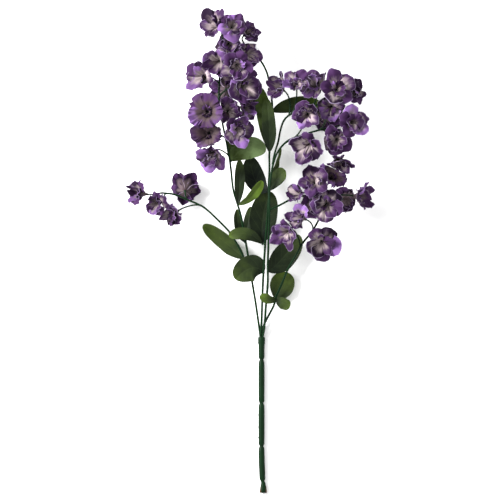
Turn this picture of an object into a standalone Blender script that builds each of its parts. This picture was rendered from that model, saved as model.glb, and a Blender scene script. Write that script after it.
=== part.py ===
"""An artificial flowering spray, lying on its back on a flat surface.

The stem runs along Y, with the cut end at -Y and the blooms at +Y.
A moulded plastic handle carries four plastic side stems.  Pressed
fabric leaves sit on short pegs of the stems, and each ruffled fabric
bloom sits on the end of a thin twig.  Every shape list is in
millimetres; the meshes are in metres.
"""
import math
import random

import bmesh
import bpy
from mathutils import Matrix, Vector

# Driving dimensions, in millimetres unless the name says otherwise
MM = 0.001
FIT_GAP = 0.3

HANDLE_RADIUS = 3.7
HANDLE_SIDES = 12
HANDLE_TOP_Y = -107.0
HANDLE_X = 14.2
GROOVE_RADIUS = 3.2
GROOVE_WIDTH = 1.6
GROOVE_ROWS = (-135.0, -189.0, -242.0, -284.0)
COLLAR_RADIUS = 4.4
COLLAR_HEIGHT = 9.0
COLLAR_TAPER = 8.0
COLLAR_CHAMFER = 0.6
END_Y = -300.0
END_LENGTH = 4.0
END_CHAMFER = 0.6
END_NECK_Y = -290.0
END_NECK_LENGTH = 3.0
END_NECK_RADIUS = 2.7
END_HALF_WIDTH = 4.9
END_SHIFT_X = 2.2
END_SHIFT_SHARES = (0.7, 0.5)

SOCKET_DEPTH = 7.0
SOCKET_RADIUS = 1.05
SOCKET_SPREAD = 1.45
PEG_RADIUS = 0.7
PEG_END_GAP = 1.0
PEG_SHOULDER = 0.05

STEM_RADIUS = 1.25
STEM_TIP_RADIUS = 0.95
STEM_STEP = 20.0
TWIG_RADIUS = 0.75
TWIG_CUP_RADIUS = 1.5
TWIG_CUP_LENGTH = 2.6
TWIG_STEPS = 3
TWIG_TURN = 1.2
TWIG_BEND_SHARE = 0.35

PETALS = 5
SAMPLES_PER_PETAL = 3
PETAL_THICKNESS = 0.8
PETAL_NOTCH = 0.78
PETAL_LOBE_POWER = 3
PETAL_LOBE_ROUNDING = 0.6
PETAL_VARIETY = (0.82, 1.0)
PETAL_CLOSED = 26.0
PETAL_SHORTEST = 0.3
PETAL_LENGTH = 1.24
PETAL_CURL = 1.0
PETAL_START = 0.45
PETAL_MIDDLE = 0.55
PETAL_RUFFLE = 0.9
PETAL_RUFFLE_RATE = 2.6
PETAL_CUPPING = 1.6
BLOOM_BASE_RADIUS = 1.6
BLOOM_CREASE = (2.4, 3.3)
BLOOM_THROAT = 4.4
OUTER_START = (2.0, 1.6)
INNER_START = (2.2, 3.7)
BLOOM_HEART_DEPTH = 6.0
INNER_REACH = 0.56
INNER_OPENING = 0.52
INNER_LIFT = 0.6
BLOOM_MARGIN = 0.3
NEIGHBOUR_REACH = 1.4
LIFT_FLOOR = 0.05
FOLD_TRIES = 10
CUT_TRIES = 12
FOLD_COST = 0.7
SETTLE_ROUNDS = 3

LEAF_THICKNESS = 0.8
LEAF_STATIONS = (0.0, 0.1, 0.26, 0.45, 0.65, 0.83, 0.94, 1.0)
LEAF_FOLD = 0.16
LEAF_END_HALF_WIDTH = 0.9
LEAF_BASE_ROUNDING = 0.7
LEAF_TIP_POWER = 2.6
LEAF_TIP_ROUNDING = 0.5
LEAF_WAVE = 0.9
LEAF_WAVE_RATE = 9.0
LEAF_WAVE_SHIFT = 0.9
LEAF_ROLL_RATE = 3.0
HUB_RADIUS = 1.5
HUB_LENGTH = 2.4
LEAF_PEG_RADIUS = 1.0

RANDOM_SEED = 7

# Routes of the side stems from the handle outwards: x, y, z
STEM_LEFT = [
    (11, -93, 5), (7, -65, 9), (3, -41, 14), (-2, -9, 22), (-6, 15, 29),
    (-11, 42, 36), (-17, 62, 41), (-21, 77, 43), (-24, 104, 44), (-27, 123, 44),
    (-33, 152, 43), (-38, 180, 42), (-38, 204, 42), (-36, 235, 42), (-34, 262, 43),
]
STEM_CENTRE_LEFT = [
    (14, -93, 8), (15, -65, 14), (16, -39, 21), (18, -5, 28), (19, 10, 31),
    (21, 35, 36), (23, 62, 40), (23, 78, 41), (24, 101, 43), (24, 121, 45),
    (27, 142, 46), (28, 163, 46), (27, 185, 46), (25, 201, 46), (21, 219, 46),
    (14, 233, 45), (5, 243, 44),
]
STEM_CENTRE_RIGHT = [
    (18, -93, 9), (20, -65, 18), (22, -39, 27), (22, -17, 35), (23, 15, 46),
    (24, 42, 52), (24, 62, 54), (24, 78, 54), (26, 93, 52), (28, 104, 50.5),
    (32, 117, 49.5), (38, 127, 49), (45, 134, 48), (52, 138, 47), (70, 144, 46),
    (87, 149, 44), (107, 153, 43),
]
STEM_RIGHT = [
    (17, -93, 4), (29, -69, 7), (32, -58, 11), (39, -42, 17), (47, -23, 24),
    (59, -2, 32), (65, 9, 35), (77, 24, 39), (85, 38, 41), (90, 50, 42),
]
BRANCH_UPPER = [
    (28, 106, 50.5), (30, 118, 50), (35, 135, 49), (37, 146, 48.5), (41, 159, 48),
    (47, 166, 47), (55, 170, 46), (66, 175, 45), (84, 180, 44), (102, 186, 43),
]
BRANCH_MIDDLE = [
    (24, 50, 53), (35, 55, 53), (52, 64, 50), (62, 69, 47), (72, 73, 45),
    (89, 74, 43), (104, 69, 43),
]
BRANCH_SIDE = [
    (0, -22.5, 18.6), (-6, -12, 21), (-9, -6, 23), (-16, 8, 27), (-24, 21, 30),
    (-35, 33, 33), (-54, 51, 35), (-64, 57, 36), (-76, 62, 36), (-93, 69, 36),
    (-108, 71, 36),
]

# Each bloom: name, the stem route that its twig leaves, the middle of
# its cup, the way it faces, its diameter, how far back along the stem
# its twig starts, as a share of its distance from the stem, and how far
# its petals open from the way it faces, in degrees.
BLOOMS = [
    ("top_01", "left", (-42, 276.5, 56), (-0.5, 0.4, 0.75), 46, 0.5, 54),
    ("top_02", "left", (-22, 276, 70), (0.15, 0.3, 0.95), 40, 0.5, 60),
    ("top_03", "centre_left", (-4, 268.5, 54), (0.5, 0.5, 0.7), 40, 0.3, 56),
    ("top_04", "left", (-26, 255, 58), (0.1, 0.0, 1.0), 34, 0.5, 56),
    ("top_05", "centre_left", (-4, 242, 58), (0.5, 0.2, 0.84), 40, 0.5, 58),
    ("top_06", "left", (-39, 233, 62), (-0.35, -0.2, 0.92), 44, 0.5, 58),
    ("top_07", "centre_left", (-16, 228, 76), (0.15, -0.2, 0.97), 42, 0.2, 62),
    ("top_08", "left", (-58, 215, 48), (-0.6, 0.0, 0.8), 44, 0.5, 50),
    ("top_09", "left", (-9, 203, 62), (0.4, -0.1, 0.9), 48, 0.5, 60),
    ("top_10", "left", (-7, 176, 48), (0.7, -0.1, 0.7), 42, 0.5, 56),
    ("top_11", "left", (-53, 171, 68), (-0.3, 0.0, 0.95), 50, 0.5, 66),
    ("top_12", "left", (-27, 172, 60), (0.1, 0.1, 1.0), 42, 0.4, 60),
    ("top_13", "left", (-51, 144, 58), (-0.3, -0.15, 0.92), 48, 0.5, 64),
    ("top_14", "left", (-16, 149, 68), (0.4, -0.1, 0.9), 44, 0.5, 60),
    ("top_15", "left", (-46, 119, 62), (-0.3, -0.5, 0.8), 42, 0.4, 54),
    ("top_16", "left", (-27, 250, 20), (0.1, 0.1, -1.0), 42, 0.4, 60),
    ("top_17", "left", (-31, 199, 20), (-0.2, 0.0, -0.97), 42, 0.4, 60),
    ("right_01", "upper", (38, 200, 54), (-0.55, 0.4, 0.7), 40, 0.2, 50),
    ("right_02", "upper", (57, 205, 68), (-0.05, 0.45, 0.88), 38, 0.5, 58),
    ("right_03", "upper", (80, 203, 56), (-0.25, 0.45, 0.85), 44, 0.5, 58),
    ("right_04", "upper", (107, 199, 70), (0.1, 0.2, 0.97), 46, 0.4, 64),
    ("right_05", "upper", (126, 195, 50), (0.6, 0.4, 0.7), 40, 0.2, 54),
    ("right_06", "upper", (100, 177, 58), (-0.1, -0.15, 0.97), 40, 0.5, 60),
    ("right_07", "centre_right", (70, 168, 66), (-0.2, -0.1, 0.97), 40, 0.8, 56),
    ("right_08", "centre_right", (126, 158, 66), (0.4, 0.05, 0.9), 44, 0.3, 60),
    ("right_09", "centre_right", (73, 130, 58), (-0.3, -0.45, 0.8), 44, 2.0, 54),
    ("right_10", "centre_right", (107, 136, 58), (0.1, -0.2, 0.97), 42, 0.4, 58),
    ("right_11", "centre_right", (109, 110, 46), (0.2, -0.6, 0.72), 40, 0.3, 50),
    ("right_12", "centre_right", (94, 166, 20), (0.0, 0.1, -1.0), 42, 0.4, 60),
    ("lower_01", "middle", (79, 84, 70), (-0.1, 0.2, 0.97), 44, 0.4, 60),
    ("lower_02", "middle", (100, 90, 50), (0.3, 0.6, 0.7), 42, 0.3, 56),
    ("lower_03", "right", (94, 57, 64), (0.0, -0.15, 0.98), 46, 0.4, 60),
    ("lower_04", "middle", (116, 63, 32), (0.4, -0.1, -0.9), 40, 0.2, 56),
    ("lower_05", "middle", (133, 67, 48), (0.86, -0.1, 0.45), 44, 0.1, 44),
    ("lower_06", "right", (64, 40, 60), (-0.65, 0.25, 0.7), 44, 0.4, 46),
    ("lower_07", "right", (46, 23, 54), (-0.5, -0.25, 0.8), 40, 0.4, 56),
    ("lower_08", "right", (88.5, 10, 58), (0.1, -0.35, 0.92), 48, 0.4, 62),
    ("lower_09", "middle", (60, 69, 54), (-0.7, 0.2, 0.65), 34, 0.4, 46),
    ("lower_10", "middle", (82, 58, 20), (0.0, -0.1, -1.0), 42, 0.4, 60),
    ("left_01", "side", (-133, 70, 40), (-0.85, 0.1, 0.45), 42, 0.0, 42),
    ("left_02", "side", (-113, 60, 46), (-0.5, -0.3, 0.8), 38, 0.4, 50),
    ("left_03", "side", (-81, 75, 22), (-0.1, 0.3, -0.93), 42, 0.5, 56),
    ("left_04", "side", (-93, 46, 42), (-0.6, -0.4, 0.65), 38, 1.2, 46),
]
RESTING = ("top_17", "right_12", "lower_10")

# Each leaf node: name, stem, the middle of its hub, the way from the
# stem to the hub, and its leaves as (middle, tip, width, roll in
# degrees, where it is broadest as a share of its length).  The leaves
# of a node start together at its hub, which sits on a short peg of the
# stem.
LEAVES = [
    ("leaf_01", "centre_left", (24, 121, 50), (0, 0, 1), [
        ((23.5, 152, 56), (20, 188, 54), 17, 8, 0.45),
        ((19, 160, 50), (11, 202, 50), 19, -8, 0.6),
    ]),
    ("leaf_02", "centre_left", (27, 171, 41), (0, 0, -1), [
        ((55, 180.5, 36), (87, 181, 32), 19, 10, 0.5),
    ]),
    ("leaf_03", "left", (-24, 110, 39), (0, 0, -1), [
        ((-4, 126.5, 36), (18.5, 121, 37), 29, -15, 0.45),
        ((-25, 133, 34), (-26, 153, 36), 10, 10, 0.5),
    ]),
    ("leaf_04", "left", (-15, 56, 45), (0, 0, 1), [
        ((2, 67, 49), (15, 86, 50), 12.5, 25, 0.68),
        ((-13, 84, 44), (-13, 112, 42), 13, 10, 0.5),
    ]),
    ("leaf_05", "centre_left", (23, 73, 36), (0, 0, -1), [
        ((6, 88, 30), (1, 116, 30), 26, 10, 0.5),
        ((33, 88, 34), (44, 98, 38), 19, -20, 0.65),
        ((32, 103, 28), (38, 126, 32), 8, 55, 0.5),
    ]),
    ("leaf_06", "centre_left", (15.5, 8, 27), (-0.7, 0, -0.7), [
        ((16, 40, 24), (25, 73, 26), 34, 4, 0.5),
        ((-4, 20, 37), (-26, 17.5, 38), 15.5, 12, 0.6),
    ]),
    ("leaf_07", "left", (-6, 10, 22), (0, 0, -1), [
        ((-14, 27, 19), (-16, 51, 24), 10.5, 20, 0.5),
        ((-3, 31, 18), (1, 54, 20), 11.5, -10, 0.5),
    ]),
    ("leaf_08", "side", (-6.8, -10.6, 17), (0, 0, -1), [
        ((-34, 12.5, 16.5), (-58, 31.5, 18), 20, -8, 0.35),
    ]),
    ("leaf_09", "centre_left", (17, -27, 19), (0, 0, -1), [
        ((1, -22, 24.5), (-18, -36, 27), 33, -6, 0.45),
    ]),
    ("leaf_10", "centre_right", (22, -26, 27), (0, 0, -1), [
        ((41, -9, 16), (61, 19, 18), 30, 6, 0.5),
    ]),
    ("leaf_11", "right", (31, -61, 6.2), (0, 0, -1), [
        ((39, -45, 6), (43.5, -26.5, 7), 30, 0, 0.55),
    ]),
    ("leaf_12", "right", (31.5, -60, 15.5), (0, 0, 1), [
        ((23, -60.5, 25), (12.5, -55.5, 28), 12, 15, 0.65),
        ((41, -65, 19), (50, -68, 20), 16, 25, 0.6),
    ]),
]

UP = Vector((0.0, 0.0, 1.0))


def clear_scene():
    """Start from an empty scene."""
    for item in list(bpy.data.objects):
        bpy.data.objects.remove(item, do_unlink=True)


def vec(point):
    """A point or size list in millimetres, as a vector in metres."""
    return Vector(point) * MM


def make_material(name, colour, roughness):
    """A Principled material with the part's colour and roughness."""
    material = bpy.data.materials.new(name)
    material.use_nodes = True
    shader = material.node_tree.nodes["Principled BSDF"]
    shader.inputs["Base Color"].default_value = (*colour, 1.0)
    shader.inputs["Roughness"].default_value = roughness
    shader.inputs["Metallic"].default_value = 0.0
    return material


def add_object(name, bm, material):
    """Link a bmesh as a smooth-shaded object with one material."""
    mesh = bpy.data.meshes.new(name)
    bm.to_mesh(mesh)
    bm.free()
    mesh.materials.append(material)
    mesh.shade_smooth()
    mesh.set_sharp_from_angle(angle=math.radians(40))
    item = bpy.data.objects.new(name, mesh)
    bpy.context.collection.objects.link(item)
    return item


def bake_modifiers(item):
    """Replace an object's mesh by its evaluated one."""
    graph = bpy.context.evaluated_depsgraph_get()
    mesh = bpy.data.meshes.new_from_object(item.evaluated_get(graph))
    item.modifiers.clear()
    item.data = mesh


def unite(base, extras):
    """Fuse loose pieces into the base with one Boolean union."""
    group = bpy.data.collections.new(base.name + "_pieces")
    bpy.context.scene.collection.children.link(group)
    for piece in extras:
        for home in list(piece.users_collection):
            home.objects.unlink(piece)
        group.objects.link(piece)
    union = base.modifiers.new("union", "BOOLEAN")
    union.operation = "UNION"
    union.operand_type = "COLLECTION"
    union.collection = group
    union.solver = "EXACT"
    bake_modifiers(base)
    for piece in extras:
        bpy.data.objects.remove(piece, do_unlink=True)
    bpy.data.collections.remove(group)


def catmull(points, spacing):
    """Points about one spacing apart on a smooth curve through a list."""
    ends = [points[0] * 2 - points[1], *points, points[-1] * 2 - points[-2]]
    result = [points[0].copy()]
    for i in range(1, len(ends) - 2):
        a, b, c, d = ends[i - 1:i + 3]
        steps = max(1, round((c - b).length / spacing))
        for k in range(1, steps + 1):
            t = k / steps
            result.append(0.5 * (
                2 * b + (c - a) * t
                + (2 * a - 5 * b + 4 * c - d) * t * t
                + (3 * b - a - 3 * c + d) * t ** 3))
    return result


def tube(name, points, radii, resolution, material):
    """A round rod with filled ends along points, as a mesh object."""
    curve = bpy.data.curves.new(name, "CURVE")
    curve.dimensions = "3D"
    curve.bevel_depth = 1.0
    curve.bevel_resolution = resolution
    curve.use_fill_caps = True
    spline = curve.splines.new("POLY")
    spline.points.add(len(points) - 1)
    for point, place, radius in zip(spline.points, points, radii):
        point.co = (*place, 1.0)
        point.radius = radius
    source = bpy.data.objects.new(name, curve)
    bpy.context.collection.objects.link(source)
    graph = bpy.context.evaluated_depsgraph_get()
    mesh = bpy.data.meshes.new_from_object(source.evaluated_get(graph))
    bpy.data.objects.remove(source, do_unlink=True)
    bpy.data.curves.remove(curve)
    bm = bmesh.new()
    bm.from_mesh(mesh)
    bpy.data.meshes.remove(mesh)
    bmesh.ops.remove_doubles(bm, verts=bm.verts, dist=1e-6)
    bmesh.ops.recalc_face_normals(bm, faces=bm.faces)
    return add_object(name, bm, material)


def loft(rings, flip_from=None):
    """A closed bmesh through equal rings of points, with flat end caps.

    Quads are split in two.  From the edge numbered flip_from onwards
    the split runs the other way, so that both faces of a thin blade
    are split alike.
    """
    bm = bmesh.new()
    loops = [[bm.verts.new(point) for point in ring] for ring in rings]
    count = len(loops[0])
    for low, high in zip(loops, loops[1:]):
        for a in range(count):
            b = (a + 1) % count
            if flip_from is not None and a >= flip_from:
                bm.faces.new((low[a], low[b], high[a]))
                bm.faces.new((low[b], high[b], high[a]))
            else:
                bm.faces.new((low[a], low[b], high[b]))
                bm.faces.new((low[a], high[b], high[a]))
    bm.faces.new(list(reversed(loops[0])))
    bm.faces.new(loops[-1])
    bmesh.ops.recalc_face_normals(bm, faces=bm.faces)
    return bm


def handle_stations():
    """Rows along the handle as (y, half width, half height, x shift)."""
    flat = HANDLE_RADIUS
    rows = [
        (END_Y, END_HALF_WIDTH, flat, END_SHIFT_X),
        (END_Y + END_LENGTH, END_HALF_WIDTH - END_CHAMFER, flat - END_CHAMFER / 3, END_SHIFT_X),
        (END_NECK_Y, END_NECK_RADIUS, END_NECK_RADIUS, END_SHIFT_X),
        (END_NECK_Y + END_NECK_LENGTH, flat, flat, END_SHIFT_X * END_SHIFT_SHARES[0]),
    ]
    for groove in reversed(GROOVE_ROWS):
        half = GROOVE_WIDTH / 2
        bend = END_SHIFT_X * END_SHIFT_SHARES[1] if groove == GROOVE_ROWS[-1] else 0.0
        rows.append((groove - half, flat, flat, bend))
        rows.append((groove, GROOVE_RADIUS, GROOVE_RADIUS, bend))
        rows.append((groove + half, flat, flat, bend))
    top = HANDLE_TOP_Y
    rows += [
        (top - COLLAR_HEIGHT - COLLAR_TAPER, flat, flat, 0.0),
        (top - COLLAR_HEIGHT, COLLAR_RADIUS, flat, 0.0),
        (top - COLLAR_CHAMFER, COLLAR_RADIUS, flat, 0.0),
        (top, COLLAR_RADIUS - COLLAR_CHAMFER, flat - COLLAR_CHAMFER, 0.0),
    ]
    return rows


def handle_axis_height():
    """Height of the handle's axis when a flat side lies on the surface."""
    return HANDLE_RADIUS * math.cos(math.pi / HANDLE_SIDES)


def socket_places():
    """The four socket axes in the handle's top face, as x and z."""
    z = handle_axis_height()
    return {
        "left": (HANDLE_X - SOCKET_SPREAD, z - SOCKET_SPREAD),
        "centre_left": (HANDLE_X - SOCKET_SPREAD, z + SOCKET_SPREAD),
        "centre_right": (HANDLE_X + SOCKET_SPREAD, z + SOCKET_SPREAD),
        "right": (HANDLE_X + SOCKET_SPREAD, z - SOCKET_SPREAD),
    }


def build_handle(material):
    """The moulded handle, with rings, a squeezed end and four sockets."""
    rings = []
    for y, half_width, half_height, shift in handle_stations():
        ring = []
        for k in range(HANDLE_SIDES):
            angle = (k + 0.5) * 2 * math.pi / HANDLE_SIDES
            x = HANDLE_X + shift + half_width * math.sin(angle)
            z = handle_axis_height() - half_height * math.cos(angle)
            ring.append(vec((x, y, z)))
        rings.append(ring)
    handle = add_object("handle", loft(rings), material)
    for name, (x, z) in socket_places().items():
        start = vec((x, HANDLE_TOP_Y - SOCKET_DEPTH, z))
        end = vec((x, HANDLE_TOP_Y + 2.0, z))
        radius = SOCKET_RADIUS * MM
        cutter = tube("socket_" + name, [start, end], [radius, radius], 1, material)
        cut = handle.modifiers.new("socket", "BOOLEAN")
        cut.operation = "DIFFERENCE"
        cut.object = cutter
        bake_modifiers(handle)
        bpy.data.objects.remove(cutter, do_unlink=True)
    return handle


def stem_route(name, route):
    """A side stem's smooth line, starting with its peg in the handle."""
    x, z = socket_places()[name]
    start = vec((x, HANDLE_TOP_Y + FIT_GAP, z))
    return catmull([start, *[vec(point) for point in route]], STEM_STEP * MM)


def stem_tube(name, points, material):
    """A side stem that thins towards its tip, with a peg at its root."""
    count = len(points) - 1
    radii = [
        (STEM_RADIUS + (STEM_TIP_RADIUS - STEM_RADIUS) * i / count) * MM
        for i in range(len(points))]
    peg_end = points[0] - Vector((0, (SOCKET_DEPTH - PEG_END_GAP) * MM, 0))
    peg_top = points[0] - Vector((0, PEG_SHOULDER * MM, 0))
    points = [peg_end, peg_top, *points]
    radii = [PEG_RADIUS * MM, PEG_RADIUS * MM, *radii]
    return tube("stem_" + name, points, radii, 1, material)


def nearest_on(points, place):
    """The nearest point on a line of points, as (distance along, point)."""
    best = (float("inf"), 0.0, points[0])
    run = 0.0
    for a, b in zip(points, points[1:]):
        edge = b - a
        t = min(1.0, max(0.0, (place - a).dot(edge) / edge.length_squared))
        spot = a + edge * t
        best = min(best, ((spot - place).length, run + edge.length * t, spot),
                   key=lambda item: item[0])
        run += edge.length
    return best[1], best[2]


def along(points, distance):
    """The point and direction at a distance along a line of points."""
    distance = max(0.0, distance)
    for a, b in zip(points, points[1:]):
        edge = b - a
        if distance <= edge.length:
            return a + edge.normalized() * distance, edge.normalized()
        distance -= edge.length
    return points[-1].copy(), (points[-1] - points[-2]).normalized()


def twig_points(route, base, facing, reach_back):
    """A curved twig from a stem's middle line to the back of a bloom."""
    distance, nearest = nearest_on(route, base)
    gap = (base - nearest).length
    root, forward = along(route, distance - reach_back * gap)
    end = base - facing * FIT_GAP * MM
    cup_start = end - facing * TWIG_CUP_LENGTH * MM
    span = (cup_start - root).length
    lead = (forward + (cup_start - root).normalized() * TWIG_TURN).normalized()
    p1 = root + lead * span * TWIG_BEND_SHARE
    p2 = cup_start - facing * span * TWIG_BEND_SHARE
    points = []
    for k in range(TWIG_STEPS + 1):
        t = k / TWIG_STEPS
        points.append(
            root * (1 - t) ** 3 + p1 * 3 * t * (1 - t) ** 2
            + p2 * 3 * t * t * (1 - t) + cup_start * t ** 3)
    radii = [TWIG_RADIUS * MM] * len(points)
    points.append(end)
    radii.append(TWIG_CUP_RADIUS * MM)
    return points, radii


class Bloom:
    """One bloom's place, size and limits."""

    def __init__(self, entry, index):
        name, stem, middle, facing, diameter, reach_back, opening = entry
        self.name = "bloom_" + name
        self.stem = stem
        self.middle = vec(middle)
        self.facing = Vector(facing).normalized()
        self.radius = diameter / 2 * MM
        self.reach_back = reach_back
        self.opening = opening
        self.planes = []
        draw = random.Random(RANDOM_SEED * 1000 + index)
        self.turn = draw.uniform(0, 2 * math.pi)
        self.reach = [draw.uniform(*PETAL_VARIETY) for _ in range(PETALS * 2)]
        self.ruffle = [draw.uniform(0, 2 * math.pi) for _ in range(PETALS * 2)]
        side = self.facing.orthogonal().normalized()
        self.frame = (side, self.facing.cross(side), self.facing)

    @property
    def base(self):
        """The flat back of the bloom, where its twig ends."""
        return self.middle - self.facing * BLOOM_HEART_DEPTH * MM

    def place(self, angle, radius, height):
        """A point from the bloom's own polar coordinates, in metres."""
        side, across, facing = self.frame
        outward = side * math.cos(angle) + across * math.sin(angle)
        return self.base + outward * radius + facing * height

    def inside(self, point):
        """True where a point is in the room that the neighbours leave."""
        return all(normal.dot(point) <= limit for normal, limit in self.planes)


def set_planes(blooms):
    """Give each bloom its own side of a plane to every near bloom."""
    margin = (BLOOM_MARGIN + PETAL_THICKNESS / 2) * MM
    for bloom in blooms:
        bloom.planes = [(-UP, -PETAL_THICKNESS / 2 * MM)]
        for other in blooms:
            if other is bloom:
                continue
            step = other.middle - bloom.middle
            gap = step.length
            if gap > (bloom.radius + other.radius) * NEIGHBOUR_REACH:
                continue
            share = (gap ** 2 + bloom.radius ** 2 - other.radius ** 2) / (2 * gap)
            normal = step / gap
            limit = normal.dot(bloom.middle) + share - margin
            bloom.planes.append((normal, limit))


def petal_line(start, length, opening, s):
    """Radius, height and slope at a share s along a petal's middle."""
    bend = PETAL_CURL * opening
    slope = opening * PETAL_START + bend * s
    first = opening * PETAL_START
    radius = start[0] * MM + length / bend * (math.cos(first) - math.cos(slope))
    height = start[1] * MM + length / bend * (math.sin(slope) - math.sin(first))
    return radius, height, slope


def fit_petal(bloom, angle, length):
    """Fold a petal up, or shorten it, until it has room."""
    best = (float("inf"), PETAL_SHORTEST, PETAL_CLOSED)
    for cut in range(CUT_TRIES):
        share = 1.0 + (PETAL_SHORTEST - 1.0) * cut / (CUT_TRIES - 1)
        for fold in range(FOLD_TRIES):
            closing = fold / (FOLD_TRIES - 1)
            opening = bloom.opening + (PETAL_CLOSED - bloom.opening) * closing
            cost = FOLD_COST * fold / FOLD_TRIES + cut / CUT_TRIES
            if cost >= best[0]:
                break
            bent = math.radians(opening)
            spots = [
                petal_line(OUTER_START, length * share, bent, s) for s in (PETAL_MIDDLE, 1.0)]
            if all(bloom.inside(bloom.place(angle, r, h)) for r, h, _ in spots):
                best = (cost, share, opening)
                break
    return best[1], best[2]


def set_room(bloom):
    """Work out how far each direction of a bloom opens and reaches."""
    columns = PETALS * SAMPLES_PER_PETAL
    full = bloom.radius * PETAL_LENGTH
    fits = [
        fit_petal(bloom, bloom.turn + column * 2 * math.pi / columns, full)
        for column in range(columns)]
    bloom.room = []
    for column, (share, opening) in enumerate(fits):
        before = fits[column - 1]
        after = fits[(column + 1) % columns]
        bloom.room.append((
            min(share, (before[0] + share + after[0]) / 3),
            min(opening, (before[1] + opening + after[1]) / 3)))


def petal_lift(bloom, layer, petal, u, s):
    """How far a petal stands off its smooth line, in millimetres."""
    wave = math.sin(PETAL_RUFFLE_RATE * math.pi * u + bloom.ruffle[petal + PETALS * layer])
    if layer == 0:
        return PETAL_CUPPING * (u * u - 1) * s + PETAL_RUFFLE * wave * s * s
    return (PETAL_CUPPING * u * u + PETAL_RUFFLE * wave) * s * s * INNER_LIFT


def bloom_surface(bloom, layer, column, s, side):
    """A point on the front (1) or back (-1) of one cup of a bloom."""
    columns = PETALS * SAMPLES_PER_PETAL
    shifted = (column + layer) % columns
    petal = shifted // SAMPLES_PER_PETAL
    u = -1.0 + 2.0 * (shifted % SAMPLES_PER_PETAL) / SAMPLES_PER_PETAL
    angle = bloom.turn + column * 2 * math.pi / columns
    share, opening = bloom.room[column]
    room = opening / bloom.opening
    rounding = (1 - abs(u) ** PETAL_LOBE_POWER) ** PETAL_LOBE_ROUNDING
    lobe = PETAL_NOTCH + (1 - PETAL_NOTCH) * rounding
    length = bloom.radius * PETAL_LENGTH * share * lobe * bloom.reach[petal + PETALS * layer]
    bend = math.radians(opening)
    start = OUTER_START
    if layer == 1:
        start = INNER_START
        length *= INNER_REACH
        bend *= INNER_OPENING
    radius, height, slope = petal_line(start, length, bend, s)
    lift = petal_lift(bloom, layer, petal, u, s) * MM * room
    while abs(lift) > LIFT_FLOOR * MM:
        spot = (radius - math.cos(slope) * lift, height + math.sin(slope) * lift)
        if bloom.inside(bloom.place(angle, *spot)):
            break
        lift *= 0.5
    off = lift + side * PETAL_THICKNESS / 2 * MM
    return angle, radius - math.cos(slope) * off, height + math.sin(slope) * off


def bloom_point(bloom, ring, column):
    """Angle, radius and height of one mesh point of a bloom."""
    angle = bloom.turn + column * 2 * math.pi / (PETALS * SAMPLES_PER_PETAL)
    if ring == 1:
        return angle, BLOOM_BASE_RADIUS * MM, 0.0
    if ring == 6:
        return angle, BLOOM_CREASE[0] * MM, BLOOM_CREASE[1] * MM
    layer, s, side = {
        2: (0, PETAL_MIDDLE, -1), 3: (0, 1.0, -1), 4: (0, 1.0, 1), 5: (0, PETAL_MIDDLE, 1),
        7: (1, 1.0, -1), 8: (1, 1.0, 1)}[ring]
    return bloom_surface(bloom, layer, column, s, side)


def build_bloom(bloom, material):
    """Two ruffled cups in one piece, drawn out of a ball."""
    columns = PETALS * SAMPLES_PER_PETAL
    rings = 8
    bm = bmesh.new()
    bmesh.ops.create_uvsphere(
        bm, u_segments=columns, v_segments=rings + 1, radius=1.0)
    labels = {}
    for vert in bm.verts:
        ring = round((1 - math.acos(max(-1, min(1, vert.co.z))) / math.pi) * (rings + 1))
        column = round(math.atan2(vert.co.y, vert.co.x) / (2 * math.pi) * columns) % columns
        labels[vert] = (ring, column)
    for face in list(bm.faces):
        if len(face.verts) == 4:
            split_quad(face, labels, columns)
    for vert, (ring, column) in labels.items():
        if ring == 0:
            vert.co = bloom.base
        elif ring == rings + 1:
            vert.co = bloom.place(0.0, 0.0, BLOOM_THROAT * MM)
        else:
            vert.co = bloom.place(*bloom_point(bloom, ring, column))
    return add_object(bloom.name, bm, material)


def split_quad(face, labels, columns):
    """Cut a face in two, alike on the back and the front of a petal."""
    rows = sorted({labels[vert][0] for vert in face.verts})
    lean = rows[0] in (1, 2, 3, 6)
    cells = {labels[vert]: vert for vert in face.verts}
    sides = sorted({labels[vert][1] for vert in face.verts})
    left, right = sides if sides[1] - sides[0] == 1 else sides[::-1]
    ends = ((rows[0], left), (rows[1], right)) if lean else ((rows[0], right), (rows[1], left))
    bmesh.utils.face_split(face, cells[ends[0]], cells[ends[1]])


def settle(bloom):
    """Lower a resting bloom until its lowest petal meets the surface."""
    columns = PETALS * SAMPLES_PER_PETAL
    lowest = min(
        bloom.place(*bloom_point(bloom, ring, column)).z
        for ring in (3, 4, 7, 8) for column in range(columns))
    bloom.middle.z -= lowest


def leaf_outline(u, broadest):
    """Half width of a blunt leaf at a share of its length, from 0 to 1."""
    if u < broadest:
        return math.sin(math.pi / 2 * u / broadest) ** LEAF_BASE_ROUNDING
    past = (u - broadest) / (1 - broadest)
    return max(0.0, 1 - past ** LEAF_TIP_POWER) ** LEAF_TIP_ROUNDING


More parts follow.
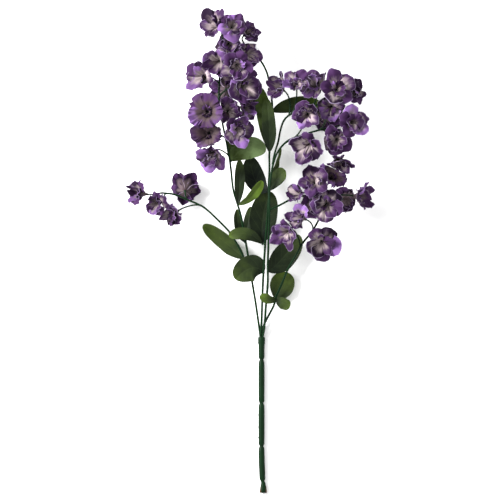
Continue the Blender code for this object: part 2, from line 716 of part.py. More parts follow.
def leaf_mesh(base, mid, tip, width, roll, broadest):
    """A thin arched leaf with a shallow fold and a waved edge."""
    control = mid * 2 - (base + tip) / 2
    rings = []
    for u in LEAF_STATIONS:
        place = base * (1 - u) ** 2 + control * 2 * u * (1 - u) + tip * u * u
        along_rib = ((control - base) * (1 - u) + (tip - control) * u).normalized()
        side = along_rib.cross(UP).normalized()
        normal = side.cross(along_rib).normalized()
        rolled = math.radians(roll) * min(1.0, u * LEAF_ROLL_RATE)
        turn = Matrix.Rotation(rolled, 3, along_rib)
        side = turn @ side
        normal = turn @ normal
        half = max(LEAF_END_HALF_WIDTH * MM, width / 2 * leaf_outline(u, broadest))
        phase = LEAF_WAVE_RATE * u + LEAF_WAVE_SHIFT * width / MM
        wave = LEAF_WAVE * MM * math.sin(phase) * math.sin(math.pi * u)
        rise = half * LEAF_FOLD
        thick = normal * LEAF_THICKNESS / 2 * MM
        left = place - side * half + normal * (rise + wave)
        right = place + side * half + normal * (rise - wave)
        rings.append([
            left + thick, place + thick, right + thick,
            right - thick, place - thick, left - thick])
    return loft(rings, flip_from=3)


def build_leaves(entry, material):
    """The leaves of one node, fused at their hub."""
    name, _, hub, way, leaves = entry
    way = Vector(way).normalized()
    centre = vec(hub)
    half = way * HUB_LENGTH / 2 * MM
    radius = HUB_RADIUS * MM
    base = tube(name, [centre - half, centre + half], [radius, radius], 1, material)
    blades = []
    for index, (mid, tip, width, roll, broadest) in enumerate(leaves):
        bm = leaf_mesh(centre, vec(mid), vec(tip), width * MM, roll, broadest)
        blades.append(add_object(f"{name}_blade_{index}", bm, material))
    unite(base, blades)
    return base


def leaf_peg(entry, route, material):
    """The short peg on the stem that a leaf node sits on."""
    name, _, hub, way, _ = entry
    way = Vector(way).normalized()
    centre = vec(hub)
    end = centre - way * (HUB_LENGTH / 2 + FIT_GAP) * MM
    _, root = nearest_on(route, end)
    radius = LEAF_PEG_RADIUS * MM
    return tube(name + "_peg", [root, end], [radius, radius], 1, material)


def branch_tube(name, points, material):
    """A side branch whose root is sunk in its stem."""
    radii = [STEM_TIP_RADIUS * MM] * len(points)
    return tube(name, points, radii, 1, material)


def settle_origin(items):
    """Put the origin at the bottom centre of the whole part's box."""
    corners = [item.matrix_world @ vert.co for item in items for vert in item.data.vertices]
    low = Vector([min(corner[k] for corner in corners) for k in range(3)])
    high = Vector([max(corner[k] for corner in corners) for k in range(3)])
    shift = Vector(((low.x + high.x) / 2, (low.y + high.y) / 2, low.z))
    for item in items:
        item.data.transform(Matrix.Translation(-shift))


def main():
    clear_scene()
    plastic = make_material("stem_plastic", (0.02, 0.085, 0.04), 0.45)
    leaf_cloth = make_material("leaf_fabric", (0.045, 0.085, 0.02), 0.75)
    petal_cloth = make_material("petal_fabric", (0.13, 0.05, 0.2), 0.8)

    blooms = [Bloom(entry, index) for index, entry in enumerate(BLOOMS)]
    for _ in range(SETTLE_ROUNDS):
        set_planes(blooms)
        for bloom in blooms:
            if bloom.name.removeprefix("bloom_") in RESTING:
                set_room(bloom)
                settle(bloom)
    set_planes(blooms)
    for bloom in blooms:
        set_room(bloom)

    stems = {
        "left": STEM_LEFT, "centre_left": STEM_CENTRE_LEFT,
        "centre_right": STEM_CENTRE_RIGHT, "right": STEM_RIGHT}
    routes = {name: stem_route(name, route) for name, route in stems.items()}
    branches = {
        "upper": ("centre_right", BRANCH_UPPER),
        "middle": ("centre_right", BRANCH_MIDDLE),
        "side": ("left", BRANCH_SIDE)}
    extras = {name: [] for name in stems}
    for name, (parent, route) in branches.items():
        routes[name] = catmull([vec(point) for point in route], STEM_STEP * MM)
        extras[parent].append(branch_tube("branch_" + name, routes[name], plastic))

    owners = {name: name for name in stems}
    owners.update({name: parent for name, (parent, _) in branches.items()})
    for bloom in blooms:
        route = routes[bloom.stem]
        points, radii = twig_points(route, bloom.base, bloom.facing, bloom.reach_back)
        twig = tube("twig_" + bloom.name, points, radii, 0, plastic)
        extras[owners[bloom.stem]].append(twig)
    for entry in LEAVES:
        extras[owners[entry[1]]].append(leaf_peg(entry, routes[entry[1]], plastic))

    items = [build_handle(plastic)]
    for name in stems:
        stem = stem_tube(name, routes[name], plastic)
        unite(stem, extras[name])
        items.append(stem)
    items += [build_leaves(entry, leaf_cloth) for entry in LEAVES]
    items += [build_bloom(bloom, petal_cloth) for bloom in blooms]
    settle_origin(items)


main()
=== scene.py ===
"""Dresses a packed flower spray: cloth blooms, cloth leaves, moulded stems and a stage.

The spray lies on its back on a level floor, and the camera looks
straight down on it.  Shape tables are in millimetres, measured from
the middle of the camera's view, and the meshes are in metres.
"""
import math
import random

import bpy
from bpy.props import FloatProperty, FloatVectorProperty, IntProperty, PointerProperty
from mathutils import Matrix, Vector, noise


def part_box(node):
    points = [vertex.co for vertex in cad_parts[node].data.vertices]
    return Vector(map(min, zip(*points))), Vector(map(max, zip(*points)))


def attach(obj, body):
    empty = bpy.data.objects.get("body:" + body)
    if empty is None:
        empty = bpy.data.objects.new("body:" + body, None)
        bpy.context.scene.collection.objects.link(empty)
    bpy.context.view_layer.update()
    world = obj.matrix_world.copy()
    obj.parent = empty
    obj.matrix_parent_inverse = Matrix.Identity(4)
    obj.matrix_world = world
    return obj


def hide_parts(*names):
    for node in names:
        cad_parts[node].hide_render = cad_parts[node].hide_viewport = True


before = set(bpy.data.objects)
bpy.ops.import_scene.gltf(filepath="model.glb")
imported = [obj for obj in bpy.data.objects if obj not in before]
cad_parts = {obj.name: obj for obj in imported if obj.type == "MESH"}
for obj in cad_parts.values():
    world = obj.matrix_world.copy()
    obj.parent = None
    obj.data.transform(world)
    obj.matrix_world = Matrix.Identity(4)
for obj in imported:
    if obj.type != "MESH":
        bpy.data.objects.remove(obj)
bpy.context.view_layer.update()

bl_info = {
    "name": "Cloth Flower Spray",
    "version": (1, 0, 0),
    "blender": (4, 5, 0),
    "location": "View3D > Sidebar > Flower Spray",
    "description": "Dresses a lying flower spray with cloth blooms, cloth leaves and moulded stems",
    "category": "Add Mesh",
}

MM = 0.001
UP = Vector((0.0, 0.0, 1.0))

# The handle, from its squeezed end to the sockets of its side stems
HANDLE_RADIUS = 3.7
HANDLE_HEIGHT = 3.57
HANDLE_TOP_Y = -107.0
HANDLE_X = 14.2
HANDLE_END_Y = -300.0
HANDLE_END_HALF_WIDTH = 4.9
HANDLE_END_SHIFT = 2.2
HANDLE_NECK_Y = -285.0
HANDLE_GROOVES = (-242.0, -189.0, -135.0)
# Rows of the handle: distance along it from its end, a groove or its top,
# half width, half height and, but for the top, share of the end's shift
HANDLE_END = (
    (0.0, 4.5, 3.2, 1.0), (0.6, HANDLE_END_HALF_WIDTH, 3.6, 1.0), (4.0, 4.3, 3.5, 1.0),
    (9.0, 3.4, 3.1, 1.0), (12.0, 2.7, 2.6, 1.0), (13.4, 2.5, 2.5, 0.8))
BEFORE_GROOVE = (
    (-8.0, 3.774, 3.7, 1.0), (-3.2, 3.552, 3.552, 1.0), (-1.4, 2.96, 2.96, 1.0),
    (-0.5, 2.5, 2.5, 1.0))
AFTER_GROOVE = (
    (0.5, 2.5, 2.5, 1.0), (1.3, 3.182, 3.182, 1.0), (2.6, 3.626, 3.626, 1.0),
    (8.0, 3.7, 3.7, 0.8), (22.0, 3.811, 3.7, 0.3))
HANDLE_TOP = (
    (-9.0, 4.3, 3.7), (-4.0, 4.4, 3.7), (-1.0, 4.3, 3.7), (-0.2, 3.9, 3.3), (0.0, 3.3, 2.8))
# Moulding burrs on its left side: y and length
HANDLE_BURRS = ((-204, 1.0), (-219, 0.8), (-232, 1.2))
SOCKET_SPREAD = 1.45
SOCKETS = {"left": (-1, -1), "centre_left": (-1, 1), "centre_right": (1, 1), "right": (1, -1)}

# Side stems: the gap at a stem's shoulder, the peg in its socket, the
# spacing of points on stems and twigs, how much thicker a twig starts, how
# far it runs straight at each end as a share of its span, the cup behind a
# bloom as (share of its depth, share of its radius), and the pegs of leaves
SHOULDER_GAP = 0.3
PEG_LENGTH = 5.0
PEG_RADIUS = 0.7
ROUTE_STEP = 4.0
TWIG_STEP = 2.5
TWIG_ROOT = (1.5, 1.15)
TWIG_PULL = 0.35
CUP_DEPTH = 3.2
CUP_GAP = 0.1
TWIG_CUP = ((0.25, 0.62), (0.6, 0.85), (0.85, 0.97), (1.0, 1.0))
LEAF_PEG_GAP = 1.4
LEAF_PEG_RADII = (1.3, 1.0, 0.95)

# How a bloom opens, as on the solids that it replaces: angles in degrees,
# lengths as shares of the petal's or the bloom's, and the steps in which a
# petal is folded and cut until it has room
PETALS = 5
ROOM_COLUMNS = 15
PETAL_CLOSED = 26.0
PETAL_SHORTEST = 0.3
PETAL_LENGTH = 1.24
PETAL_START = 0.45
PETAL_MIDDLE = 0.55
BLOOM_HEART_DEPTH = 6.0
BLOOM_MARGIN = 0.7
FOLD_TRIES = 10
CUT_TRIES = 12
FOLD_COST = 0.7
NEIGHBOUR_REACH = 1.4
RANDOM_SEED = 7
# Draws passed over, so that every bloom keeps the look it was chosen for
SKIPPED_DRAWS = 20

# How the cloth gives way to the walls between blooms: the gap it keeps,
# how wide each of three soft bends is, how much of the length and opening
# that the solid gave up it takes back, the most that it rises out of the
# cup instead, and the room that it leaves to a stem that passes
PRESS_MARGIN = 0.32
PRESS_SOFT = (1.0, 0.3, 0.02)
PRESS_SHARE = 0.95
PRESS_OPENING = 0.85
PRESS_RISE = 4.0
STEM_ROOM = 1.6

# The shape of the cloth: where a petal is at its broadest and starts to
# curl, as a share of its length, how wide its tip and its middle fold are,
# as shares of its half width, its slow and quick waves across in radians,
# how much it laps over the next petal, and the size and height of crumples
PETAL_WAIST = 0.45
POINT_WIDTH = 0.28
FOLD_WIDTH = 0.3
WAVE_ANGLE = 2.6 * math.pi
FRILL_ANGLE = 6.7 * math.pi
OVERLAP = 0.5
CRUMPLE_SIZE = 8.0
CRUMPLE_HEIGHT = 2.1
# What each petal stores for its material: how light its purple is, how
# pale its middle is and how little dye it took
PETAL_NUMBERS = ("tint", "pale", "bare")

# A leaf's grid, its curl at the rim, the width of its midrib and its
# collar as (height, radius)
LEAF_GRID = (14, 36)
LEAF_CURL = 0.45
MIDRIB_WIDTH = 0.9
LEAF_COLLAR = ((-1.2, 1.2), (-0.8, 1.5), (0.6, 1.4), (1.2, 0.7))

# Ribs of a wave texture are this share of its scale apart
WAVE_TURN = 0.314

# The stage: how far the floor is below the spray, the light's place and
# side in metres, and the point that the camera looks at
FLOOR_GAP = 0.2
KEY_PLACE = Vector((-2.0, 0.9, 1.5))
KEY_SIZE = 1.1
VIEW_SHIFT = 0.5
VIEW_HEIGHT = 45.0

# The two cups of a bloom: columns and rows of each petal's grid, its
# length and opening as shares of the outer cup's, how much both vary,
# where the petal leaves the heart and where its slope starts (radius,
# height), and how far the cup is turned, in room columns
CUPS = (
    {"grid": (16, 15), "reach": 1.0, "opening": 1.0, "reaches": (0.8, 0.96),
     "openings": (0.8, 1.1), "foot": (1.1, 0.15), "start": (2.0, 1.6), "turn": 0.0},
    {"grid": (14, 13), "reach": 0.76, "opening": 0.62, "reaches": (0.58, 1.12),
     "openings": (0.5, 1.5), "foot": (1.1, 0.45), "start": (1.9, 3.4), "turn": -1.5},
)

# Routes of the side stems from the handle outwards: x, y, z
STEMS = {
    "left": [
        (11, -93, 5), (7, -65, 9), (3, -41, 14), (-2, -9, 22), (-6, 15, 29),
        (-11, 42, 36), (-17, 62, 41), (-21, 77, 43), (-24, 104, 44), (-27, 123, 44),
        (-33, 152, 43), (-38, 180, 42), (-38, 204, 42), (-36, 235, 42), (-34, 262, 43)],
    "centre_left": [
        (14, -93, 8), (15, -65, 14), (16, -39, 21), (18, -5, 28), (19, 10, 31),
        (21, 35, 36), (23, 62, 40), (23, 78, 41), (24, 101, 43), (24, 121, 45),
        (27, 142, 46), (28, 163, 46), (27, 185, 46), (25, 201, 46), (21, 219, 46),
        (14, 233, 45), (5, 243, 44)],
    "centre_right": [
        (18, -93, 9), (20, -65, 18), (22, -39, 27), (22, -17, 35), (23, 15, 46),
        (24, 42, 52), (24, 62, 54), (24, 78, 54), (26, 93, 52), (28, 104, 50.5),
        (32, 117, 49.5), (38, 127, 49), (45, 134, 48), (52, 138, 47), (70, 144, 46),
        (87, 149, 44), (107, 153, 43)],
    "right": [
        (17, -93, 4), (29, -69, 7), (32, -58, 11), (39, -42, 17), (47, -23, 24),
        (59, -2, 32), (65, 9, 35), (77, 24, 39), (85, 38, 41), (90, 50, 42)],
}
# Side branches, each moulded in one with the stem that is named first
BRANCHES = {
    "upper": ("centre_right", [
        (28, 106, 50.5), (30, 118, 50), (35, 135, 49), (37, 146, 48.5), (41, 159, 48),
        (47, 166, 47), (55, 170, 46), (66, 175, 45), (84, 180, 44), (102, 186, 43)]),
    "middle": ("centre_right", [
        (24, 50, 53), (35, 55, 53), (52, 64, 50), (62, 69, 47), (72, 73, 45),
        (89, 74, 43), (104, 69, 43)]),
    "side": ("left", [
        (0, -22.5, 18.6), (-6, -12, 21), (-9, -6, 23), (-16, 8, 27), (-24, 21, 30),
        (-35, 33, 33), (-54, 51, 35), (-64, 57, 36), (-76, 62, 36), (-93, 69, 36),
        (-108, 71, 36)]),
}

# Each bloom: name, the stem that its twig leaves, the middle of its cup,
# the way it faces, its diameter, how far back along the stem its twig
# starts, as a share of its distance from the stem, and how far its
# petals open from the way it faces, in degrees
BLOOMS = [
    ("top_01", "left", (-42, 276.5, 56), (-0.5, 0.4, 0.75), 46, 0.5, 54),
    ("top_02", "left", (-22, 276, 70), (0.15, 0.3, 0.95), 40, 0.5, 60),
    ("top_03", "centre_left", (-4, 268.5, 54), (0.5, 0.5, 0.7), 40, 0.3, 56),
    ("top_04", "left", (-26, 255, 58), (0.1, 0.0, 1.0), 34, 0.5, 56),
    ("top_05", "centre_left", (-4, 242, 58), (0.5, 0.2, 0.84), 40, 0.5, 58),
    ("top_06", "left", (-39, 233, 62), (-0.35, -0.2, 0.92), 44, 0.5, 58),
    ("top_07", "centre_left", (-16, 228, 76), (0.15, -0.2, 0.97), 42, 0.2, 62),
    ("top_08", "left", (-58, 215, 48), (-0.6, 0.0, 0.8), 44, 0.5, 50),
    ("top_09", "left", (-9, 203, 62), (0.4, -0.1, 0.9), 48, 0.5, 60),
    ("top_10", "left", (-7, 176, 48), (0.7, -0.1, 0.7), 42, 0.5, 56),
    ("top_11", "left", (-53, 171, 68), (-0.3, 0.0, 0.95), 50, 0.5, 66),
    ("top_12", "left", (-27, 172, 60), (0.1, 0.1, 1.0), 42, 0.4, 60),
    ("top_13", "left", (-51, 144, 58), (-0.3, -0.15, 0.92), 48, 0.5, 64),
    ("top_14", "left", (-16, 149, 68), (0.4, -0.1, 0.9), 44, 0.5, 60),
    ("top_15", "left", (-46, 119, 62), (-0.3, -0.5, 0.8), 42, 0.4, 54),
    ("top_16", "left", (-27, 250, 20), (0.1, 0.1, -1.0), 42, 0.4, 60),
    ("top_17", "left", (-31, 199, 20), (-0.2, 0.0, -0.97), 42, 0.4, 60),
    ("right_01", "upper", (38, 200, 54), (-0.55, 0.4, 0.7), 40, 0.2, 50),
    ("right_02", "upper", (57, 205, 68), (-0.05, 0.45, 0.88), 38, 0.5, 58),
    ("right_03", "upper", (80, 203, 56), (-0.25, 0.45, 0.85), 44, 0.5, 58),
    ("right_04", "upper", (107, 199, 70), (0.1, 0.2, 0.97), 46, 0.4, 64),
    ("right_05", "upper", (126, 195, 50), (0.6, 0.4, 0.7), 40, 0.2, 54),
    ("right_06", "upper", (100, 177, 58), (-0.1, -0.15, 0.97), 40, 0.5, 60),
    ("right_07", "centre_right", (70, 168, 66), (-0.2, -0.1, 0.97), 40, 0.8, 56),
    ("right_08", "centre_right", (126, 158, 66), (0.4, 0.05, 0.9), 44, 0.3, 60),
    ("right_09", "centre_right", (73, 130, 58), (-0.3, -0.45, 0.8), 44, 2.0, 54),
    ("right_10", "centre_right", (107, 136, 58), (0.1, -0.2, 0.97), 42, 0.4, 58),
    ("right_11", "centre_right", (109, 110, 46), (0.2, -0.6, 0.72), 40, 0.3, 50),
    ("right_12", "centre_right", (94, 166, 20), (0.0, 0.1, -1.0), 42, 0.4, 60),
    ("lower_01", "middle", (79, 84, 70), (-0.1, 0.2, 0.97), 44, 0.4, 60),
    ("lower_02", "middle", (100, 90, 50), (0.3, 0.6, 0.7), 42, 0.3, 56),
    ("lower_03", "right", (94, 57, 64), (0.0, -0.15, 0.98), 46, 0.4, 60),
    ("lower_04", "middle", (116, 63, 32), (0.4, -0.1, -0.9), 40, 0.2, 56),
    ("lower_05", "middle", (133, 67, 48), (0.86, -0.1, 0.45), 44, 0.1, 44),
    ("lower_06", "right", (64, 40, 60), (-0.65, 0.25, 0.7), 44, 0.4, 46),
    ("lower_07", "right", (46, 23, 54), (-0.5, -0.25, 0.8), 40, 0.4, 56),
    ("lower_08", "right", (88.5, 10, 58), (0.1, -0.35, 0.92), 48, 0.4, 62),
    ("lower_09", "middle", (60, 69, 54), (-0.7, 0.2, 0.65), 34, 0.4, 46),
    ("lower_10", "middle", (82, 58, 20), (0.0, -0.1, -1.0), 42, 0.4, 60),
    ("left_01", "side", (-133, 70, 40), (-0.85, 0.1, 0.45), 42, 0.0, 42),
    ("left_02", "side", (-113, 60, 46), (-0.5, -0.3, 0.8), 38, 0.4, 50),
    ("left_03", "side", (-81, 75, 22), (-0.1, 0.3, -0.93), 42, 0.5, 56),
    ("left_04", "side", (-93, 46, 42), (-0.6, -0.4, 0.65), 38, 1.2, 46),
]
RESTING = ("top_17", "right_12", "lower_10")
# Blooms that a stem passes which isn't their own
BESIDE_STEM = {"right_01": "centre_left"}
# Wide open blooms, taupe nearly to their frilled rim, and the length and
# opening of their inner cups
FRILLED = ("top_11", "top_13", "lower_02")
FRILLED_INNER = (0.55, 1.5)

# Each leaf node: name, stem, the middle of its hub, the way from the
# stem to the hub, and its leaves as (middle, tip, width, roll in
# degrees, where it is broadest as a share of its length, brightness, 1
# where the pale underside shows)
LEAVES = [
    ("leaf_01", "centre_left", (24, 121, 50), (0, 0, 1), [
        ((23.5, 152, 56), (20, 188, 54), 17, 8, 0.45, 0.45, 0),
        ((19, 160, 50), (11, 202, 50), 19, -8, 0.6, 0.8, 0)]),
    ("leaf_02", "centre_left", (27, 171, 41), (0, 0, -1), [
        ((55, 180.5, 36), (87, 181, 32), 19, 10, 0.5, 0.75, 0)]),
    ("leaf_03", "left", (-24, 110, 39), (0, 0, -1), [
        ((-4, 126.5, 36), (18.5, 121, 37), 29, -15, 0.45, 0.7, 1),
        ((-25, 133, 34), (-26, 153, 36), 10, 10, 0.5, 0.9, 0)]),
    ("leaf_04", "left", (-15, 56, 45), (0, 0, 1), [
        ((2, 67, 49), (15, 86, 50), 12.5, 25, 0.68, 1.0, 0),
        ((-13, 84, 44), (-13, 112, 42), 13, 10, 0.5, 0.4, 0)]),
    ("leaf_05", "centre_left", (23, 73, 36), (0, 0, -1), [
        ((6, 88, 30), (1, 116, 30), 26, 10, 0.5, 0.1, 0),
        ((33, 88, 34), (44, 98, 38), 19, -20, 0.65, 0.6, 0),
        ((32, 103, 28), (38, 126, 32), 8, 55, 0.5, 0.7, 0)]),
    ("leaf_06", "centre_left", (15.5, 8, 27), (-0.7, 0, -0.7), [
        ((16, 40, 24), (25, 73, 26), 34, 4, 0.5, 0.32, 0),
        ((-4, 20, 37), (-26, 17.5, 38), 15.5, 12, 0.6, 0.6, 0)]),
    ("leaf_07", "left", (-6, 10, 22), (0, 0, -1), [
        ((-14, 27, 19), (-16, 51, 24), 10.5, 20, 0.5, 0.4, 0),
        ((-3, 31, 18), (1, 54, 20), 11.5, -10, 0.5, 0.3, 0)]),
    ("leaf_08", "side", (-6.8, -10.6, 17), (0, 0, -1), [
        ((-34, 12.5, 16.5), (-58, 31.5, 18), 20, -8, 0.35, 0.75, 0)]),
    ("leaf_09", "centre_left", (17, -27, 19), (0, 0, -1), [
        ((1, -22, 24.5), (-18, -36, 27), 33, -6, 0.45, 0.5, 0)]),
    ("leaf_10", "centre_right", (22, -26, 27), (0, 0, -1), [
        ((41, -9, 16), (61, 19, 18), 30, 6, 0.5, 0.4, 0)]),
    ("leaf_11", "right", (31, -61, 6.2), (0, 0, -1), [
        ((39, -45, 6), (43.5, -26.5, 7), 30, 0, 0.55, 0.75, 0)]),
    ("leaf_12", "right", (31.5, -60, 15.5), (0, 0, 1), [
        ((23, -60.5, 25), (12.5, -55.5, 28), 12, 15, 0.65, 0.85, 0),
        ((41, -65, 19), (50, -68, 20), 16, 25, 0.6, 0.7, 0)]),
]


def view_origin():
    """Where the middle of the tables' millimetres lies in the frame."""
    low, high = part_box("handle")
    corner = HANDLE_X + HANDLE_END_SHIFT + HANDLE_END_HALF_WIDTH * math.sin(math.radians(75))
    return Vector((high.x - corner * MM, low.y - HANDLE_END_Y * MM, 0.0))


ORIGIN = view_origin()


def vec(point):
    """A point of the tables in the frame, in metres."""
    return Vector(point) * MM + ORIGIN


def to_linear(hex_code):
    """An sRGB hex colour as linear red, green, blue and alpha."""
    values = [int(hex_code[i:i + 2], 16) / 255 for i in (1, 3, 5)]
    return (*[v / 12.92 if v <= 0.04045 else ((v + 0.055) / 1.055) ** 2.4 for v in values], 1.0)


def colour_prop(name, description, hex_code):
    """A colour setting whose default is given as an sRGB hex value."""
    return FloatVectorProperty(
        name=name, description=description, subtype="COLOR", size=4, min=0.0, max=1.0,
        default=to_linear(hex_code))


def length_prop(name, description, millimetres):
    """A length setting whose default is given in millimetres."""
    return FloatProperty(
        name=name, description=description, subtype="DISTANCE", unit="LENGTH",
        min=0.0, precision=5, default=millimetres * MM)


class SPRAY_PG_blooms(bpy.types.PropertyGroup):
    """Sizes and colours of the cloth blooms."""

    thickness: length_prop("Cloth thickness", "Thickness of the petal cloth", 0.35)
    ruffle: length_prop("Ruffle", "Height of the waves at a petal's rim", 1.2)
    cupping: length_prop("Cupping", "How far a petal's middle bulges", 2.6)
    crease: length_prop("Crease", "Depth of the fine pressed creases", 0.45)
    # Painted shade: the colour that darkens the cup's centre, where little light reaches
    painted_throat_shade: colour_prop("Throat", "Colour deep in the cup", "#120c14")
    taupe: colour_prop("Petal base", "Colour where a petal leaves the cup", "#3a2d30")
    cream: colour_prop("Petal middle", "Pale colour between base and tip", "#9c8e90")
    purple: colour_prop("Petal tip", "Main colour of the petals", "#372041")
    deep: colour_prop("Deep petal tip", "Colour of the darkest petals", "#180a1e")
    lilac: colour_prop("Lilac", "Colour of the palest petals", "#74548b")
    # The rim colour is partly faded dye at the cut edge and partly a painted highlight
    rim: colour_prop("Rim", "Colour of the thin cut edge", "#b09fc0")
    back: colour_prop("Petal back", "Colour of the back of the cup", "#4f4347")


class SPRAY_PG_leaves(bpy.types.PropertyGroup):
    """Sizes and colours of the cloth leaves."""

    thickness: length_prop("Cloth thickness", "Thickness of the leaf cloth", 0.45)
    fold: FloatProperty(
        name="Fold", description="Rise of a leaf's edges, as a share of its half width",
        default=0.16, min=0.0, max=0.6)
    wave: length_prop("Wave", "Height of the slow waves along a leaf", 0.9)
    vein: length_prop("Vein", "Depth of the pressed veins", 0.3)
    # The dark leaf colour is partly dye and partly painted shade near the stems
    dark: colour_prop("Dark leaf", "Colour near the stem", "#060d09")
    middle: colour_prop("Leaf", "Main leaf colour", "#1b2413")
    olive: colour_prop("Olive leaf", "Colour towards the tips", "#2f3b18")
    bright: colour_prop("Bright leaf", "Colour of the brightest leaves", "#4c621d")
    under: colour_prop("Underside", "Pale colour of the underside", "#5c6f47")


class SPRAY_PG_stems(bpy.types.PropertyGroup):
    """Sizes and colours of the moulded stems."""

    root: length_prop("Root radius", "Radius of a side stem at the handle", 1.42)
    tip: length_prop("Tip radius", "Radius of a side stem at its tip", 1.2)
    twig: length_prop("Twig radius", "Radius of the thin twigs", 0.9)
    cup: length_prop("Cup radius", "Radius of the small cup behind a bloom", 1.75)
    sides: IntProperty(name="Sides", description="Flats round a stem", default=12, min=8, max=32)
    plastic: colour_prop("Plastic", "Colour of the moulded plastic", "#0d2812")
    shade: colour_prop("Plastic in grooves", "Darker colour of worn dye", "#061409")
    rust: colour_prop("Wire stain", "Stain of the wire at the cut end", "#563c2d")


class SPRAY_PG_stage(bpy.types.PropertyGroup):
    """The floor, the light and the camera."""

    floor_size: length_prop("Floor size", "Side of the square floor", 6000.0)
    camera_height: length_prop("Camera height", "Distance from camera to spray", 20000.0)
    view_width: length_prop("View width", "Width that the camera sees", 617.3)
    floor: colour_prop("Floor", "Colour of the floor", "#fafafa")
    key_power: FloatProperty(
        name="Key light", description="Power of the large soft light", default=217.0, min=0.0,
        unit="POWER")
    sky: FloatProperty(
        name="Room light", description="Strength of the even light from all round",
        default=1.2, min=0.0)


def deselect_all():
    """Leave nothing selected, so that an operator acts on new pieces alone."""
    for item in list(bpy.context.selected_objects):
        item.select_set(False)


def make_active(*items):
    """Select the given pieces alone and make the first one active."""
    deselect_all()
    for item in items:
        item.select_set(True)
    bpy.context.view_layer.objects.active = items[0]


def join_pieces(name, items):
    """Join mesh pieces into the first one and name it."""
    make_active(*items)
    bpy.ops.object.join()
    item = bpy.context.object
    item.name = name
    item.data.name = name
    return item


def dress(item, slot_name, *nodes):
    """Hang a finished piece under the root body and hide the solids that it stands for."""
    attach(item, "root")
    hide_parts(*nodes)


def add_node(tree, kind, settings=None, links=None, stops=None):
    """Add a shader node with its settings, its values and links, and any ramp stops."""
    node = tree.nodes.new(kind)
    for key, value in (settings or {}).items():
        setattr(node, key, value)
    for key, value in (links or {}).items():
        if isinstance(value, bpy.types.NodeSocket):
            tree.links.new(value, node.inputs[key])
        else:
            node.inputs[key].default_value = value
    if stops:
        elements = node.color_ramp.elements
        while len(elements) < len(stops):
            elements.new(0.5)
        for element, (place, colour) in zip(elements, stops):
            element.position = place
            element.color = colour
    return node


def calc(tree, operation, *values):
    """The result of one math node on numbers or sockets."""
    node = add_node(tree, "ShaderNodeMath", {"operation": operation}, dict(enumerate(values)))
    return node.outputs[0]


def scaled(tree, value, factor, plus=0.0):
    """A value times a factor, plus another value."""
    return calc(tree, "MULTIPLY_ADD", value, factor, plus)


def remap(tree, value, *ends, curve="LINEAR"):
    """A value taken from the range of the first two ends to that of the last two."""
    node = add_node(tree, "ShaderNodeMapRange", {"interpolation_type": curve},
                    dict(enumerate((value, *ends))))
    return node.outputs[0]


def blend(tree, share, one, two):
    """The first colour mixed with a share of the second."""
    node = add_node(tree, "ShaderNodeMix", {"data_type": "RGBA"}, {0: share, 6: one, 7: two})
    return node.outputs[2]


def ramp(tree, value, *stops):
    """The colour that a value has between stops."""
    return add_node(tree, "ShaderNodeValToRGB", links={0: value}, stops=stops).outputs[0]


def stored(tree, name):
    """A number that the mesh stores at its points."""
    return add_node(tree, "ShaderNodeAttribute", {"attribute_name": name}).outputs["Fac"]


def speckle(tree, place, size, detail, rough=0.5):
    """Noise with grains of one size."""
    node = add_node(tree, "ShaderNodeTexNoise", links={
        "Vector": place, "Scale": 1 / size, "Detail": detail, "Roughness": rough})
    return node.outputs["Fac"]


def threads(tree, place, direction, gap, distortion):
    """Fine ribs one gap apart."""
    node = add_node(tree, "ShaderNodeTexWave", {"bands_direction": direction}, {
        "Vector": place, "Scale": WAVE_TURN / gap, "Distortion": distortion})
    return node.outputs["Fac"]


def axes(tree, vector):
    """The x, y and z of a vector."""
    return add_node(tree, "ShaderNodeSeparateXYZ", links={0: vector}).outputs[:]


def object_place(tree):
    """Where a point of a piece lies, in metres."""
    return add_node(tree, "ShaderNodeTexCoord").outputs["Object"]


def cloth_place(tree):
    """How far across and along its petal or leaf a point lies, from 0 to 1."""
    return axes(tree, add_node(tree, "ShaderNodeUVMap", {"uv_map": "cloth"}).outputs[0])[:2]


def new_material(name):
    """An empty node material and its tree."""
    material = bpy.data.materials.new(name)
    material.use_nodes = True
    material.node_tree.nodes.clear()
    return material, material.node_tree


def finish_material(material, colour, relief, depth, strength, settings):
    """Close a material with its bump, a Principled shader and the output."""
    tree = material.node_tree
    bump = add_node(tree, "ShaderNodeBump", links={
        "Height": relief, "Distance": depth, "Strength": strength})
    shader = add_node(tree, "ShaderNodeBsdfPrincipled", links={
        "Base Color": colour, "Normal": bump.outputs[0], **settings})
    add_node(tree, "ShaderNodeOutputMaterial", links={"Surface": shader.outputs[0]})
    return material


def cloth_surface(rough, specular, sheen_rough):
    """Principled settings of a cloth: no gloss, and a trace of sheen."""
    return {"Roughness": rough, "IOR": 1.45, "Specular IOR Level": specular,
            "Sheen Weight": 0.02, "Sheen Roughness": sheen_rough}


def petal_fields(tree):
    """What both sides of a petal share: across, along, tint, pale, reach of the dye, relief."""
    across, along = cloth_place(tree)
    tint, pale, bare = [stored(tree, name) for name in PETAL_NUMBERS]
    # Pressed creases run from the cup to the rim, about 1.3 mm apart on a 20 mm petal
    place = add_node(tree, "ShaderNodeCombineXYZ", links={
        0: scaled(tree, across, 15.0), 1: scaled(tree, along, 1.6), 2: scaled(tree, tint, 37.0)})
    streaks = speckle(tree, place.outputs[0], 1.0, 2.0, 0.6)
    # Dye takes unevenly in patches about 9 mm wide
    spot = object_place(tree)
    patches = speckle(tree, spot, 9 * MM, 1.0)
    # Threads are 0.25 mm apart on such cloth, drawn 0.7 mm apart so that they show
    relief = scaled(tree, threads(tree, spot, "X", 0.7 * MM, 1.0), 0.06, streaks)
    reach = scaled(tree, patches, 0.45, scaled(tree, streaks, 0.4, along))
    # Some petals took less dye than others
    reach = calc(tree, "SUBTRACT", scaled(tree, bare, -0.3, reach), 0.275)
    return across, along, tint, pale, reach, relief


